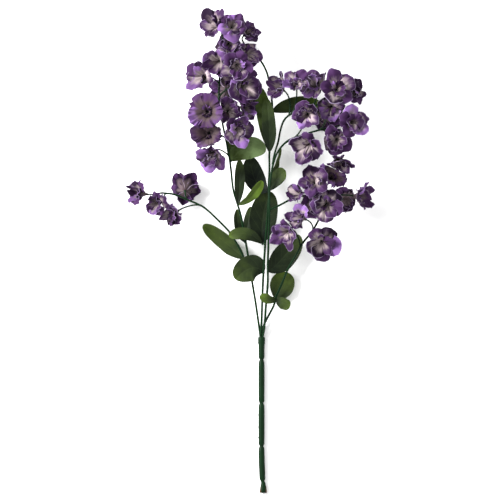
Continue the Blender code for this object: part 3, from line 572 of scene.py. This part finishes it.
def petal_front(look):
    """Woven polyester, dyed purple from the rim inwards: soft, a little shiny, with a pale edge."""
    material, tree = new_material("woven_polyester_petal_front")
    across, along, tint, pale, reach, relief = petal_fields(tree)
    # Undyed cloth near the cup is taupe on some petals and cream on others
    undyed = blend(tree, pale, look.taupe, look.cream)
    # The throat is darkened with painted shade, less on paler petals, and the palest stay pale deep
    # into the cup
    dark = remap(tree, reach, -0.06, 0.3, 1.0, 0.0)
    ground = blend(
        tree, scaled(tree, dark, scaled(tree, pale, -0.85, 1.0)), undyed, look.painted_throat_shade)
    dye = ramp(tree, tint, (0.0, look.deep), (0.35, look.purple), (0.7, look.purple),
               (1.0, look.lilac))
    dyed = remap(tree, reach, 0.36, 0.78, 0.0, 1.0, curve="SMOOTHSTEP")
    body = blend(tree, dyed, ground, dye)
    # The cut edge is paler over the outer 0.5 mm, more on some petals: partly dye lost at the cut,
    # partly a painted highlight where the edge catches the light
    edge = calc(tree, "MINIMUM", calc(tree, "PINGPONG", across, 0.5),
                calc(tree, "SUBTRACT", 1.0, along))
    worn = scaled(tree, remap(tree, edge, 0.0, 0.04, 0.6, 0.0), pale)
    colour = blend(tree, worn, body, look.rim)
    return finish_material(
        material, colour, relief, look.crease, 0.8, cloth_surface(0.6, 0.06, 0.4))


def petal_back(look):
    """The back of the same cloth: grey taupe over the cup, purple only near the rim."""
    material, tree = new_material("woven_polyester_petal_back")
    *_, reach, relief = petal_fields(tree)
    colour = ramp(tree, reach, (0.0, look.taupe), (0.25, look.back), (0.5, look.back),
                  (0.72, look.deep), (0.95, look.purple))
    return finish_material(
        material, colour, relief, look.crease, 0.8, cloth_surface(0.7, 0.06, 0.45))


def leaf_material(look, under):
    """Waxed satin cloth, pressed with veins: olive at the tip and dark at the stem, partly dye and
    partly painted shade.
    """
    material, tree = new_material("pressed_satin_leaf_" + ("underside" if under else "face"))
    across, along = cloth_place(tree)
    spot = object_place(tree)
    # Dye pools in clouds about 14 mm wide
    clouds = speckle(tree, spot, 14 * MM, 3.0)
    # Darker towards the stem: partly dye, partly painted shade where the leaves meet the stems
    level = scaled(tree, stored(tree, "tint"), 0.75, scaled(tree, along, 0.55, -0.5))
    stops = [(0.0, look.dark), (0.33, look.middle), (0.62, look.olive), (1.0, look.bright)]
    if under:
        stops = [(0.0, look.middle), (0.3, look.olive), (0.65, look.under), (1.0, look.under)]
    cloth = ramp(tree, scaled(tree, clouds, 0.5, level), *stops)
    # Side veins leave the midrib at a slant, about 7 mm apart
    half = calc(tree, "PINGPONG", across, 0.5)
    rows = scaled(tree, scaled(tree, half, 0.45, along), 7.0)
    side_vein = remap(tree, calc(tree, "PINGPONG", rows, 0.5), 0.0, 0.09, 0.35, 0.0)
    veins = calc(tree, "MAXIMUM", side_vein, remap(tree, half, 0.47, 0.5, 0.0, 0.5))
    colour = blend(tree, scaled(tree, veins, 0.45 if under else 0.13), cloth, look.under)
    # Satin threads are 0.3 mm apart, drawn 0.8 mm apart so that they show
    pressed = scaled(tree, veins, 1.6 if under else -1.2, clouds)
    relief = scaled(tree, threads(tree, spot, "DIAGONAL", 0.8 * MM, 0.6), 0.08, pressed)
    return finish_material(
        material, colour, relief, look.vein, 0.7, cloth_surface(0.55, 0.09, 0.5))


def stem_plastic(look, with_stain):
    """Injection-moulded polyethylene: dark green, smooth, with soft highlights and drawn lines."""
    material, tree = new_material("moulded_polyethylene_" + ("handle" if with_stain else "stem"))
    spot = object_place(tree)
    # Flow lines run along the moulding, about 0.8 mm apart
    lines = add_node(tree, "ShaderNodeMapping", links={
        "Vector": spot, "Scale": (1 / (0.8 * MM), 1 / (30 * MM), 1 / (0.8 * MM))})
    flow = speckle(tree, lines.outputs[0], 1.0, 2.0)
    # The dye differs a little every 25 mm
    colour = blend(tree, speckle(tree, spot, 25 * MM, 2.0), look.shade, look.plastic)
    if with_stain:
        # The wire stains both sides of the last 11 mm
        x, y, _ = axes(tree, spot)
        end = vec((HANDLE_X + HANDLE_END_SHIFT, HANDLE_END_Y, 0))
        low = remap(tree, y, end.y + 2 * MM, end.y + 12 * MM, 1.0, 0.0)
        aside = calc(tree, "ABSOLUTE", calc(tree, "SUBTRACT", x, end.x))
        outer = remap(tree, aside, 2.2 * MM, 4.2 * MM, 0.0, 0.9)
        colour = blend(tree, scaled(tree, low, outer), colour, look.rust)
    return finish_material(material, colour, flow, 0.1 * MM, 0.6, {
        "Roughness": remap(tree, flow, 0.3, 0.7, 0.34, 0.5), "IOR": 1.5,
        "Specular IOR Level": 0.06})


def floor_material(look):
    """Matt white laminate: even, with a faint grain, so that only soft shadows show."""
    material, tree = new_material("matt_laminate_floor")
    grain = speckle(tree, object_place(tree), 2 * MM, 2.0)
    return finish_material(material, look.floor, grain, 0.02 * MM, 0.3, {
        "Roughness": 0.9, "Specular IOR Level": 0.1})


def catmull(points, spacing):
    """Points about one spacing apart on a smooth curve through a list."""
    ends = [points[0] * 2 - points[1], *points, points[-1] * 2 - points[-2]]
    result = [points[0].copy()]
    for i in range(1, len(ends) - 2):
        a, b, c, d = ends[i - 1:i + 3]
        steps = max(1, round((c - b).length / spacing))
        for k in range(1, steps + 1):
            t = k / steps
            result.append(0.5 * (
                2 * b + (c - a) * t
                + (2 * a - 5 * b + 4 * c - d) * t * t
                + (3 * b - a - 3 * c + d) * t ** 3))
    return result


def nearest_on(points, place):
    """The nearest point on a line of points, as (distance along, point)."""
    best = (float("inf"), 0.0, points[0])
    run = 0.0
    for a, b in zip(points, points[1:]):
        edge = b - a
        t = min(1.0, max(0.0, (place - a).dot(edge) / edge.length_squared))
        spot = a + edge * t
        best = min(best, ((spot - place).length, run + edge.length * t, spot),
                   key=lambda item: item[0])
        run += edge.length
    return best[1:]


def along_line(points, distance):
    """The point and direction at a distance along a line of points."""
    distance = max(0.0, distance)
    for a, b in zip(points, points[1:]):
        edge = b - a
        if distance <= edge.length:
            return a + edge.normalized() * distance, edge.normalized()
        distance -= edge.length
    return points[-1].copy(), (points[-1] - points[-2]).normalized()


def stem_routes():
    """The smooth middle line of every side stem and branch."""
    routes = {name: [vec(point) for point in route] for name, route in STEMS.items()}
    for name, (aside, height) in SOCKETS.items():
        routes[name].insert(0, vec((
            HANDLE_X + aside * SOCKET_SPREAD, HANDLE_TOP_Y + SHOULDER_GAP,
            HANDLE_HEIGHT + height * SOCKET_SPREAD)))
    for name, (_, route) in BRANCHES.items():
        routes[name] = [vec(point) for point in route]
    return {name: catmull(route, ROUTE_STEP * MM) for name, route in routes.items()}


class Bloom:
    """One bloom's place, size and limits."""

    def __init__(self, entry, index):
        self.name, self.stem, middle, facing, diameter, self.reach_back, self.opening = entry
        self.middle = vec(middle)
        self.facing = Vector(facing).normalized()
        self.radius = diameter / 2 * MM
        self.frilled = self.name in FRILLED
        self.planes = []
        self.draw = random.Random(RANDOM_SEED * 1000 + index)
        self.turn = self.draw.uniform(0, 2 * math.pi)
        for _ in range(SKIPPED_DRAWS):
            self.draw.random()
        self.inner = self.draw.uniform(0.85, 1.25), self.draw.uniform(0.7, 1.5)
        if self.frilled:
            self.inner = FRILLED_INNER
        side = self.facing.orthogonal().normalized()
        self.frame = (side, self.facing.cross(side), self.facing)

    @property
    def base(self):
        """The flat back of the bloom, where its twig ends."""
        return self.middle - self.facing * BLOOM_HEART_DEPTH * MM

    def place(self, angle, radius, height):
        """A point from the bloom's own polar coordinates, in metres."""
        side, across, facing = self.frame
        outward = side * math.cos(angle) + across * math.sin(angle)
        return self.base + outward * radius + facing * height

    def inside(self, point):
        """True where a point is in the room that the neighbours leave."""
        margin = BLOOM_MARGIN * MM
        return all(normal.dot(point) <= limit - margin for normal, limit in self.planes)

    def press_in(self, point):
        """Bend a point back from the walls of the bloom's room, ever harder near them."""
        for width in PRESS_SOFT:
            soft = width * MM
            for normal, limit in self.planes:
                left = limit - PRESS_MARGIN * MM - normal.dot(point)
                if left < soft:
                    point = point + normal * (left - soft * math.exp(left / soft - 1))
        return point

    def room_at(self, angle):
        """Petal length share and opening at an angle, between the room's columns."""
        column = ((angle - self.turn) / (2 * math.pi) * ROOM_COLUMNS) % ROOM_COLUMNS
        low = int(column)
        pair = zip(self.room[low % ROOM_COLUMNS], self.room[(low + 1) % ROOM_COLUMNS])
        return [one + (two - one) * (column - low) for one, two in pair]


def set_planes(blooms):
    """Give each bloom its own side of a plane to every near bloom."""
    for bloom in blooms:
        bloom.planes = [(-UP, 0.0)]
        for other in blooms:
            step = other.middle - bloom.middle
            gap = step.length
            if other is bloom or gap > (bloom.radius + other.radius) * NEIGHBOUR_REACH:
                continue
            share = (gap ** 2 + bloom.radius ** 2 - other.radius ** 2) / (2 * gap)
            normal = step / gap
            bloom.planes.append((normal, normal.dot(bloom.middle) + share))


def petal_arc(length, opening, s):
    """Radius and height at a share s along a plain outer petal."""
    start = CUPS[0]["start"]
    first = opening * PETAL_START
    slope = first + opening * s
    radius = start[0] * MM + length / opening * (math.cos(first) - math.cos(slope))
    height = start[1] * MM + length / opening * (math.sin(slope) - math.sin(first))
    return radius, height


def fit_petal(bloom, angle, length):
    """Fold a petal up, or shorten it, until it has room."""
    best = (float("inf"), PETAL_SHORTEST, PETAL_CLOSED)
    for cut in range(CUT_TRIES):
        share = 1.0 + (PETAL_SHORTEST - 1.0) * cut / (CUT_TRIES - 1)
        for fold in range(FOLD_TRIES):
            closing = fold / (FOLD_TRIES - 1)
            opening = bloom.opening + (PETAL_CLOSED - bloom.opening) * closing
            cost = FOLD_COST * fold / FOLD_TRIES + cut / CUT_TRIES
            if cost >= best[0]:
                break
            spots = [petal_arc(length * share, math.radians(opening), s)
                     for s in (PETAL_MIDDLE, 1.0)]
            if all(bloom.inside(bloom.place(angle, *spot)) for spot in spots):
                best = (cost, share, opening)
                break
    return best[1:]


def set_room(bloom):
    """Work out how far each direction of a bloom opens and reaches."""
    full = bloom.radius * PETAL_LENGTH
    fits = [
        fit_petal(bloom, bloom.turn + column * 2 * math.pi / ROOM_COLUMNS, full)
        for column in range(ROOM_COLUMNS)]
    bloom.room = [
        [min(own, (before + own + after) / 3)
         for before, own, after in zip(fits[column - 1], fit, fits[(column + 1) % ROOM_COLUMNS])]
        for column, fit in enumerate(fits)]


def settle(bloom):
    """Lower or raise a resting bloom until it fits the solid's height."""
    low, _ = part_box("bloom_" + bloom.name)
    reach = bloom.radius * PETAL_LENGTH
    bloom.middle.z += low.z - min(
        bloom.place(0.0, *petal_arc(reach, math.radians(bloom.opening), s)).z
        for s in (PETAL_MIDDLE, 1.0))


def make_blooms():
    """All blooms with the room that each has beside its neighbours."""
    blooms = [Bloom(entry, index) for index, entry in enumerate(BLOOMS)]
    for bloom in blooms:
        if bloom.name in RESTING:
            settle(bloom)
    set_planes(blooms)
    routes = stem_routes()
    for bloom in blooms:
        set_room(bloom)
        if bloom.name in BESIDE_STEM:
            _, near = nearest_on(routes[BESIDE_STEM[bloom.name]], bloom.middle)
            normal = (near - bloom.middle).normalized()
            bloom.planes.append((normal, normal.dot(near) - STEM_ROOM * MM))
    return blooms


def tube_mesh(name, tubes, sides):
    """Round rods with closed ends as one mesh piece, drawn with one curve object."""
    deselect_all()
    bpy.ops.curve.primitive_nurbs_path_add()
    curve = bpy.context.object.data
    curve.splines.clear()
    curve.dimensions = "3D"
    curve.bevel_depth = 1.0
    curve.bevel_resolution = max(0, sides // 2 - 2)
    curve.use_fill_caps = True
    for points, radii in tubes:
        spline = curve.splines.new("POLY")
        spline.points.add(len(points) - 1)
        for point, place, radius in zip(spline.points, points, radii):
            point.co = (*place, 1.0)
            point.radius = radius
    bpy.ops.object.convert(target="MESH")
    item = bpy.context.object
    item.name = name
    bpy.ops.object.mode_set(mode="EDIT")
    bpy.ops.mesh.select_all(action="SELECT")
    bpy.ops.mesh.remove_doubles(threshold=0.001 * MM)
    bpy.ops.mesh.normals_make_consistent(inside=False)
    bpy.ops.object.mode_set(mode="OBJECT")
    bpy.ops.object.shade_smooth_by_angle(angle=math.radians(50))
    return item


def cloth_grid(name, columns, rows):
    """A flat grid with a UV map named cloth: x runs across and y along, from -1 to 1."""
    deselect_all()
    bpy.ops.mesh.primitive_grid_add(x_subdivisions=columns, y_subdivisions=rows, size=2.0)
    item = bpy.context.object
    item.name = name
    item.data.uv_layers[0].name = "cloth"
    return item


def set_number(item, name, values):
    """Store one number at each point of a mesh."""
    layer = item.data.attributes.new(name, "FLOAT", "POINT")
    layer.data.foreach_set("value", values)


def finish_cloth(item, thickness, materials):
    """Give bent cloth its two materials, its thickness and smooth faces."""
    for material in materials:
        item.data.materials.append(material)
    make_active(item)
    wall = item.modifiers.new("cloth", "SOLIDIFY")
    wall.thickness = thickness
    wall.offset = 0.0
    wall.material_offset = 1
    bpy.ops.object.modifier_apply(modifier="cloth")
    bpy.ops.object.shade_smooth_by_angle(angle=math.radians(55))


def hump(value, width):
    """A smooth hump, 1 high at nought."""
    return math.exp(-(value / width) ** 2)


def bloom_blank():
    """Ten flat petals in one mesh, each point marked with its petal's number."""
    petals = []
    for number in range(PETALS * len(CUPS)):
        item = cloth_grid("petal", *CUPS[number // PETALS]["grid"])
        set_number(item, "petal", [float(number)] * len(item.data.vertices))
        petals.append(item)
    return join_pieces("bloom_blank", petals)


def read_blank(blank):
    """The blank's points as lines: (petal number, across) to [point numbers by row]."""
    lines = {}
    for vert, mark in zip(blank.data.vertices, blank.data.attributes["petal"].data):
        key = (round(mark.value), round(-vert.co.x, 4))
        lines.setdefault(key, []).append((round(vert.co.y, 4), vert.index))
    return {key: [index for _, index in sorted(line)] for key, line in lines.items()}


def petal_mood(bloom, number):
    """What makes one petal of a bloom differ from the next."""
    draw = bloom.draw
    cup = CUPS[number // PETALS]
    pale, tint = [min(1.0, max(0.0, draw.gauss(0.5, 0.3))) for _ in range(2)]
    mood = {
        "tint": tint, "pale": pale, "bare": pale, "frill": 0.75,
        "reach": draw.uniform(*cup["reaches"]),
        "phase": draw.uniform(0, 2 * math.pi),
        "second": draw.uniform(0, 2 * math.pi),
        "cup": draw.choice((-1.3, -1.1, -0.8, -0.5, 0.6)),
        "reflex": math.radians(draw.choice((-35, 10, 30, 50, 70)) + draw.uniform(-10, 10)),
        "opening": draw.uniform(*cup["openings"]),
        "aside": math.radians(draw.uniform(-9, 9)),
        "broad": draw.uniform(1.14, 1.38),
        "point": draw.uniform(-0.08, 0.16),
        "fold": draw.uniform(0.4, 2.4) * MM,
        "narrow": draw.uniform(0.2, 0.55),
        "twist": draw.uniform(-1.8, 1.8) * MM,
        "lift": draw.uniform(0.2, 0.9),
        "place": Vector([draw.uniform(0, 99) for _ in range(3)]),
    }
    if bloom.frilled:
        mood.update(pale=0.1 * pale, bare=0.8 + 0.4 * pale, narrow=0.24, fold=1.3 * MM,
                    point=0.0, frill=2.4)
    return mood


def petal_line(bloom, number, across, count, mood, look):
    """One line of points up a petal, from the foot of the cup to the rim."""
    cup = CUPS[number // PETALS]
    u = math.sin(across * math.pi / 2)
    sector = 2 * math.pi / PETALS
    centre = bloom.turn + (number % PETALS + 0.5) * sector + mood["aside"]
    centre += cup["turn"] * 2 * math.pi / ROOM_COLUMNS
    side_way = u * sector / 2
    share, opening = bloom.room_at(centre + side_way)
    share += (1.0 - share) * PRESS_SHARE
    opening += (bloom.opening - opening) * PRESS_OPENING
    room = opening / bloom.opening
    lobe = 1.0 - mood["narrow"] * abs(u) ** 2.2 + mood["point"] * hump(u, POINT_WIDTH)
    length = bloom.radius * PETAL_LENGTH * share * cup["reach"] * lobe * mood["reach"]
    bend = math.radians(opening) * cup["opening"] * mood["opening"]
    if number >= PETALS:
        length *= bloom.inner[0]
        bend *= bloom.inner[1]
    radius, height = (value * MM for value in cup["start"])
    points = [bloom.place(centre + side_way, *(value * MM for value in cup["foot"]))]
    steps = count - 2
    for row in range(steps + 1):
        s = row / steps
        if row:
            past = max(0.0, (s - PETAL_WAIST) / (1 - PETAL_WAIST))
            slope = bend * (PETAL_START + s - 0.5 / steps) + mood["reflex"] * past * past * room
            radius += math.sin(slope) * length / steps
            height += math.cos(slope) * length / steps
        slope = bend * (PETAL_START + s)
        dish = look.cupping * mood["cup"] * (u * u - 0.5) * s
        wave = look.ruffle * math.sin(WAVE_ANGLE * u + mood["phase"]) * s * s
        frill = mood["frill"] * look.ruffle * math.sin(FRILL_ANGLE * u + mood["second"]) * s ** 4
        fold = -mood["fold"] * hump(u, FOLD_WIDTH) * math.sin(math.pi * min(1.0, s * 1.1))
        twist = mood["twist"] * u * s
        lift = (dish + wave + frill + fold + twist) * room + OVERLAP * MM * u * s
        widen = 1.0 + (mood["broad"] - 1.0) * min(1.0, s / PETAL_WAIST)
        spot = bloom.place(
            centre + side_way * widen,
            radius - math.cos(slope) * lift, height + math.sin(slope) * lift)
        crumple = noise.noise_vector(spot / (CRUMPLE_SIZE * MM) + mood["place"])
        spot = spot + crumple * (CRUMPLE_HEIGHT * MM * s ** 1.3 * (0.4 + 0.6 * room))
        pressed = bloom.press_in(spot)
        rise = min(PRESS_RISE * MM, (spot - pressed).length) * mood["lift"]
        points.append(bloom.press_in(pressed + bloom.facing * rise))
    return points


def build_bloom(bloom, blank, lines, look, materials):
    """Bend the flat blank into one bloom and give its cloth a thickness."""
    moods = [petal_mood(bloom, number) for number in range(PETALS * len(CUPS))]
    item = bpy.data.objects.new("cloth_bloom_" + bloom.name, blank.data.copy())
    bpy.context.collection.objects.link(item)
    count = len(item.data.vertices)
    places = [0.0] * (3 * count)
    numbers = {name: [0.0] * count for name in PETAL_NUMBERS}
    for (number, across), line in lines.items():
        points = petal_line(bloom, number, across, len(line), moods[number], look)
        for index, point in zip(line, points):
            places[3 * index:3 * index + 3] = point
            for name, values in numbers.items():
                values[index] = moods[number][name]
    item.data.vertices.foreach_set("co", places)
    for name, values in numbers.items():
        set_number(item, name, values)
    item.data.update()
    finish_cloth(item, look.thickness, materials)
    return item


def leaf_outline(u, broadest):
    """Half width of a blunt leaf at a share of its length, from 0 to 1."""
    if u < broadest:
        return math.sin(math.pi / 2 * u / broadest) ** 0.7
    return max(0.0, 1 - ((u - broadest) / (1 - broadest)) ** 2.6) ** 0.5


def bend_leaf(item, centre, leaf, look):
    """Move a flat grid's points onto one leaf and store its brightness."""
    mid, tip, width, roll, broadest, brightness, flipped = leaf
    mid, tip = vec(mid), vec(tip)
    control = mid * 2 - (centre + tip) / 2
    for vert in item.data.vertices:
        x, u = vert.co.x, math.sin(math.pi / 4 * (vert.co.y + 1)) ** 1.3
        place = centre * (1 - u) ** 2 + control * 2 * u * (1 - u) + tip * u * u
        rib = ((control - centre) * (1 - u) + (tip - control) * u).normalized()
        side = rib.cross(UP).normalized()
        normal = side.cross(rib).normalized()
        turn = Matrix.Rotation(math.radians(roll) * min(1.0, u * 3), 3, rib)
        half = max(0.5 * MM, width / 2 * MM * leaf_outline(u, broadest))
        calm = math.sin(math.pi * u)
        wave = look.wave * math.sin(9.0 * u + 0.9 * width) * calm
        curl = LEAF_CURL * MM * math.sin(23.0 * u + width) * abs(x) ** 3 * calm
        rise = half * look.fold * abs(x) ** 1.3
        groove = -look.vein * hump(x * half, MIDRIB_WIDTH * MM)
        if flipped:
            rise, groove = -0.5 * rise, -groove
        lift = rise - wave * x + curl + groove
        vert.co = place + turn @ (side * (x * half) + normal * lift)
    set_number(item, "tint", [brightness] * len(item.data.vertices))


def build_leaf(entry, look, materials, plastic):
    """The leaves of one node, with the collar that sits on the stem's peg."""
    name, _, hub, way, leaves = entry
    centre = vec(hub)
    blades = []
    for leaf in leaves:
        item = cloth_grid("blade", *LEAF_GRID)
        bend_leaf(item, centre, leaf, look)
        finish_cloth(item, look.thickness, materials[::-1] if leaf[-1] else materials)
        blades.append(item)
    way = Vector(way).normalized() * MM
    collar = tube_mesh("collar", [(
        [centre + way * height for height, _ in LEAF_COLLAR],
        [radius * MM for _, radius in LEAF_COLLAR])], 16)
    collar.data.materials.append(plastic)
    return join_pieces("cloth_" + name, [*blades, collar])


def twig_tube(route, bloom, look):
    """A curved twig from a stem to the small cup behind a bloom, as points and radii."""
    base, facing = bloom.base, bloom.facing
    distance, nearest = nearest_on(route, base)
    root, forward = along_line(route, distance - bloom.reach_back * (base - nearest).length)
    end = base - facing * CUP_GAP * MM
    cup_start = base - facing * CUP_DEPTH * MM
    span = (cup_start - root).length
    lead = (forward + (cup_start - root).normalized() * 1.2).normalized()
    one = root + lead * span * TWIG_PULL
    two = cup_start - facing * span * TWIG_PULL
    steps = max(6, round(span / (TWIG_STEP * MM)))
    points = []
    for k in range(steps + 1):
        t = k / steps
        points.append(
            root * (1 - t) ** 3 + one * 3 * t * (1 - t) ** 2
            + two * 3 * t * t * (1 - t) + cup_start * t ** 3)
    radii = [look.twig * share for share in TWIG_ROOT] + [look.twig] * (steps - 1)
    for share, width in TWIG_CUP:
        points.append(cup_start.lerp(end, share))
        radii.append(look.cup * width)
    return points, radii


def build_stem(name, routes, blooms, look, plastic):
    """One side stem with its branches, twigs and leaf pegs."""
    tubes = []
    owned = [name] + [branch for branch, (parent, _) in BRANCHES.items() if parent == name]
    for route_name in owned:
        points = routes[route_name]
        count = len(points) - 1
        radii = [look.root] + [look.tip] * count
        if route_name == name:
            radii = [look.root + (look.tip - look.root) * i / count for i in range(count + 1)]
            points = [points[0] - Vector((0, PEG_LENGTH * MM, 0)), *points]
            radii.insert(0, PEG_RADIUS * MM)
        points = [*points, points[-1] + (points[-1] - points[-2]).normalized() * 0.4 * MM]
        tubes.append((points, [*radii, 0.4 * MM]))
    for bloom in blooms:
        if bloom.stem in owned:
            tubes.append(twig_tube(routes[bloom.stem], bloom, look))
    for _, stem, hub, way, _ in LEAVES:
        if stem in owned:
            end = vec(hub) - Vector(way).normalized() * LEAF_PEG_GAP * MM
            _, root = nearest_on(routes[stem], end)
            radii = [radius * MM for radius in LEAF_PEG_RADII]
            tubes.append(([root, root.lerp(end, 0.7), end], radii))
    item = tube_mesh("moulded_stem_" + name, tubes, look.sides)
    item.data.materials.append(plastic)
    return item


def handle_rows():
    """Rows along the handle: the middle of each, its half width and its half height."""
    rows = [(HANDLE_END_Y, *row) for row in HANDLE_END]
    rows += [(HANDLE_NECK_Y, *row[:3], row[3] * 0.5) for row in AFTER_GROOVE]
    for groove in HANDLE_GROOVES:
        rows += [(groove, *row[:3], 0.0) for row in BEFORE_GROOVE + AFTER_GROOVE]
    rows += [(HANDLE_TOP_Y, *row, 0.0) for row in HANDLE_TOP]
    return [(vec((HANDLE_X + HANDLE_END_SHIFT * bend, start + along, HANDLE_HEIGHT)), wide, high)
            for start, along, wide, high, bend in rows]


def build_handle(look, plastic):
    """The ribbed handle, drawn out row by row from a disc at its cut end."""
    (spot, wide, high), *rows = handle_rows()
    deselect_all()
    bpy.ops.mesh.primitive_circle_add(
        vertices=32, radius=MM, fill_type="NGON", location=spot,
        rotation=(math.radians(90), 0, 0))
    item = bpy.context.object
    bpy.ops.object.transform_apply(location=True, rotation=True, scale=True)
    bpy.ops.object.mode_set(mode="EDIT")
    bpy.ops.mesh.select_all(action="SELECT")
    bpy.ops.transform.resize(value=(wide, 1, high), center_override=spot)
    for place, next_wide, next_high in rows:
        bpy.ops.mesh.extrude_region_move(TRANSFORM_OT_translate={"value": place - spot})
        bpy.ops.transform.resize(
            value=(next_wide / wide, 1, next_high / high), center_override=place)
        spot, wide, high = place, next_wide, next_high
    bpy.ops.mesh.select_all(action="SELECT")
    bpy.ops.mesh.normals_make_consistent(inside=False)
    bpy.ops.object.mode_set(mode="OBJECT")
    for vert in item.data.vertices:
        vert.co.z = max(vert.co.z, 0.0)
    bpy.ops.object.shade_smooth_by_angle(angle=math.radians(40))
    burrs = []
    for y, length in HANDLE_BURRS:
        foot = vec((HANDLE_X - HANDLE_RADIUS + 0.6, y, HANDLE_HEIGHT + 0.4))
        tip = foot + Vector((-length - 0.6, 0.8, 0.2)) * MM
        burrs.append(([foot, foot.lerp(tip, 0.6), tip], [0.7 * MM, 0.45 * MM, 0.12 * MM]))
    pieces = [item, tube_mesh("burrs", burrs, 8)]
    for piece in pieces:
        piece.data.materials.append(plastic)
    return join_pieces("moulded_handle", pieces)


class SPRAY_OT_handle(bpy.types.Operator):
    """Add the ribbed plastic handle"""

    bl_idname = "spray.handle"
    bl_label = "Add Handle"

    def execute(self, context):
        look = context.scene.spray_stems
        item = build_handle(look, stem_plastic(look, True))
        dress(item, "stem_plastic", "handle")
        return {"FINISHED"}


class SPRAY_OT_stems(bpy.types.Operator):
    """Add the four moulded side stems with their twigs"""

    bl_idname = "spray.stems"
    bl_label = "Add Side Stems"

    def execute(self, context):
        look = context.scene.spray_stems
        plastic = stem_plastic(look, False)
        routes = stem_routes()
        blooms = make_blooms()
        for name in STEMS:
            item = build_stem(name, routes, blooms, look, plastic)
            dress(item, "stem_plastic", "stem_" + name)
        return {"FINISHED"}


class SPRAY_OT_leaves(bpy.types.Operator):
    """Add the pressed cloth leaves"""

    bl_idname = "spray.leaves"
    bl_label = "Add Leaves"

    def execute(self, context):
        look = context.scene.spray_leaves
        materials = [leaf_material(look, False), leaf_material(look, True)]
        plastic = stem_plastic(context.scene.spray_stems, False)
        for entry in LEAVES:
            item = build_leaf(entry, look, materials, plastic)
            dress(item, "leaf_fabric", entry[0])
        return {"FINISHED"}


class SPRAY_OT_blooms(bpy.types.Operator):
    """Add the ruffled cloth blooms"""

    bl_idname = "spray.blooms"
    bl_label = "Add Blooms"

    def execute(self, context):
        look = context.scene.spray_blooms
        materials = [petal_front(look), petal_back(look)]
        # Without its own seed the noise would differ between runs
        noise.seed_set(RANDOM_SEED)
        blank = bloom_blank()
        lines = read_blank(blank)
        for bloom in make_blooms():
            item = build_bloom(bloom, blank, lines, look, materials)
            dress(item, "petal_fabric", "bloom_" + bloom.name)
        bpy.data.objects.remove(blank, do_unlink=True)
        return {"FINISHED"}


class SPRAY_OT_stage(bpy.types.Operator):
    """Add the floor, the soft light and the camera"""

    bl_idname = "spray.stage"
    bl_label = "Add Stage"

    def execute(self, context):
        look = context.scene.spray_stage
        scene = context.scene
        deselect_all()
        bpy.ops.mesh.primitive_plane_add(size=look.floor_size, location=(0, 0, -FLOOR_GAP * MM))
        floor = bpy.context.object
        floor.name = "floor"
        floor.data.materials.append(floor_material(look))

        world = bpy.data.worlds.new("soft_room")
        world.use_nodes = True
        background = world.node_tree.nodes["Background"].inputs
        background["Color"].default_value = (1, 1, 1, 1)
        background["Strength"].default_value = look.sky
        scene.world = world

        bpy.ops.object.light_add(type="AREA", location=KEY_PLACE)
        key = bpy.context.object
        key.name = "key_light"
        key.rotation_euler = (-KEY_PLACE).to_track_quat("-Z", "Y").to_euler()
        key.data.shape = "SQUARE"
        key.data.size = KEY_SIZE
        key.data.energy = look.key_power

        place = ORIGIN + Vector((0, VIEW_SHIFT * MM, VIEW_HEIGHT * MM + look.camera_height))
        bpy.ops.object.camera_add(location=place, rotation=(0, 0, 0))
        camera = bpy.context.object
        camera.data.lens = camera.data.sensor_width * look.camera_height / look.view_width
        scene.camera = camera
        scene.view_settings.view_transform = "Standard"
        return {"FINISHED"}


class SPRAY_PT_panel(bpy.types.Panel):
    """Buttons and settings of the flower spray."""

    bl_idname = "SPRAY_PT_panel"
    bl_label = "Flower Spray"
    bl_space_type = "VIEW_3D"
    bl_region_type = "UI"
    bl_category = "Flower Spray"

    def draw(self, context):
        for group, *operators in (
                ("spray_stems", "spray.handle", "spray.stems"),
                ("spray_leaves", "spray.leaves"), ("spray_blooms", "spray.blooms"),
                ("spray_stage", "spray.stage")):
            box = self.layout.box()
            for operator in operators:
                box.operator(operator)
            settings = getattr(context.scene, group)
            for name in settings.bl_rna.properties.keys():
                if name not in ("rna_type", "name"):
                    box.prop(settings, name)


GROUPS = {
    "spray_blooms": SPRAY_PG_blooms, "spray_leaves": SPRAY_PG_leaves,
    "spray_stems": SPRAY_PG_stems, "spray_stage": SPRAY_PG_stage}
CLASSES = (
    *GROUPS.values(), SPRAY_OT_handle, SPRAY_OT_stems, SPRAY_OT_leaves, SPRAY_OT_blooms,
    SPRAY_OT_stage, SPRAY_PT_panel)


def register():
    """Register the add-on's classes and settings."""
    for entry in CLASSES:
        bpy.utils.register_class(entry)
    for name, group in GROUPS.items():
        setattr(bpy.types.Scene, name, PointerProperty(type=group))


def unregister():
    """Take the add-on's classes and settings away again."""
    for name in GROUPS:
        delattr(bpy.types.Scene, name)
    for entry in reversed(CLASSES):
        bpy.utils.unregister_class(entry)


def main():
    """Build every piece in order."""
    register()
    bpy.ops.spray.stage()
    bpy.ops.spray.handle()
    bpy.ops.spray.stems()
    bpy.ops.spray.leaves()
    bpy.ops.spray.blooms()


if __name__ == "__main__":
    main()
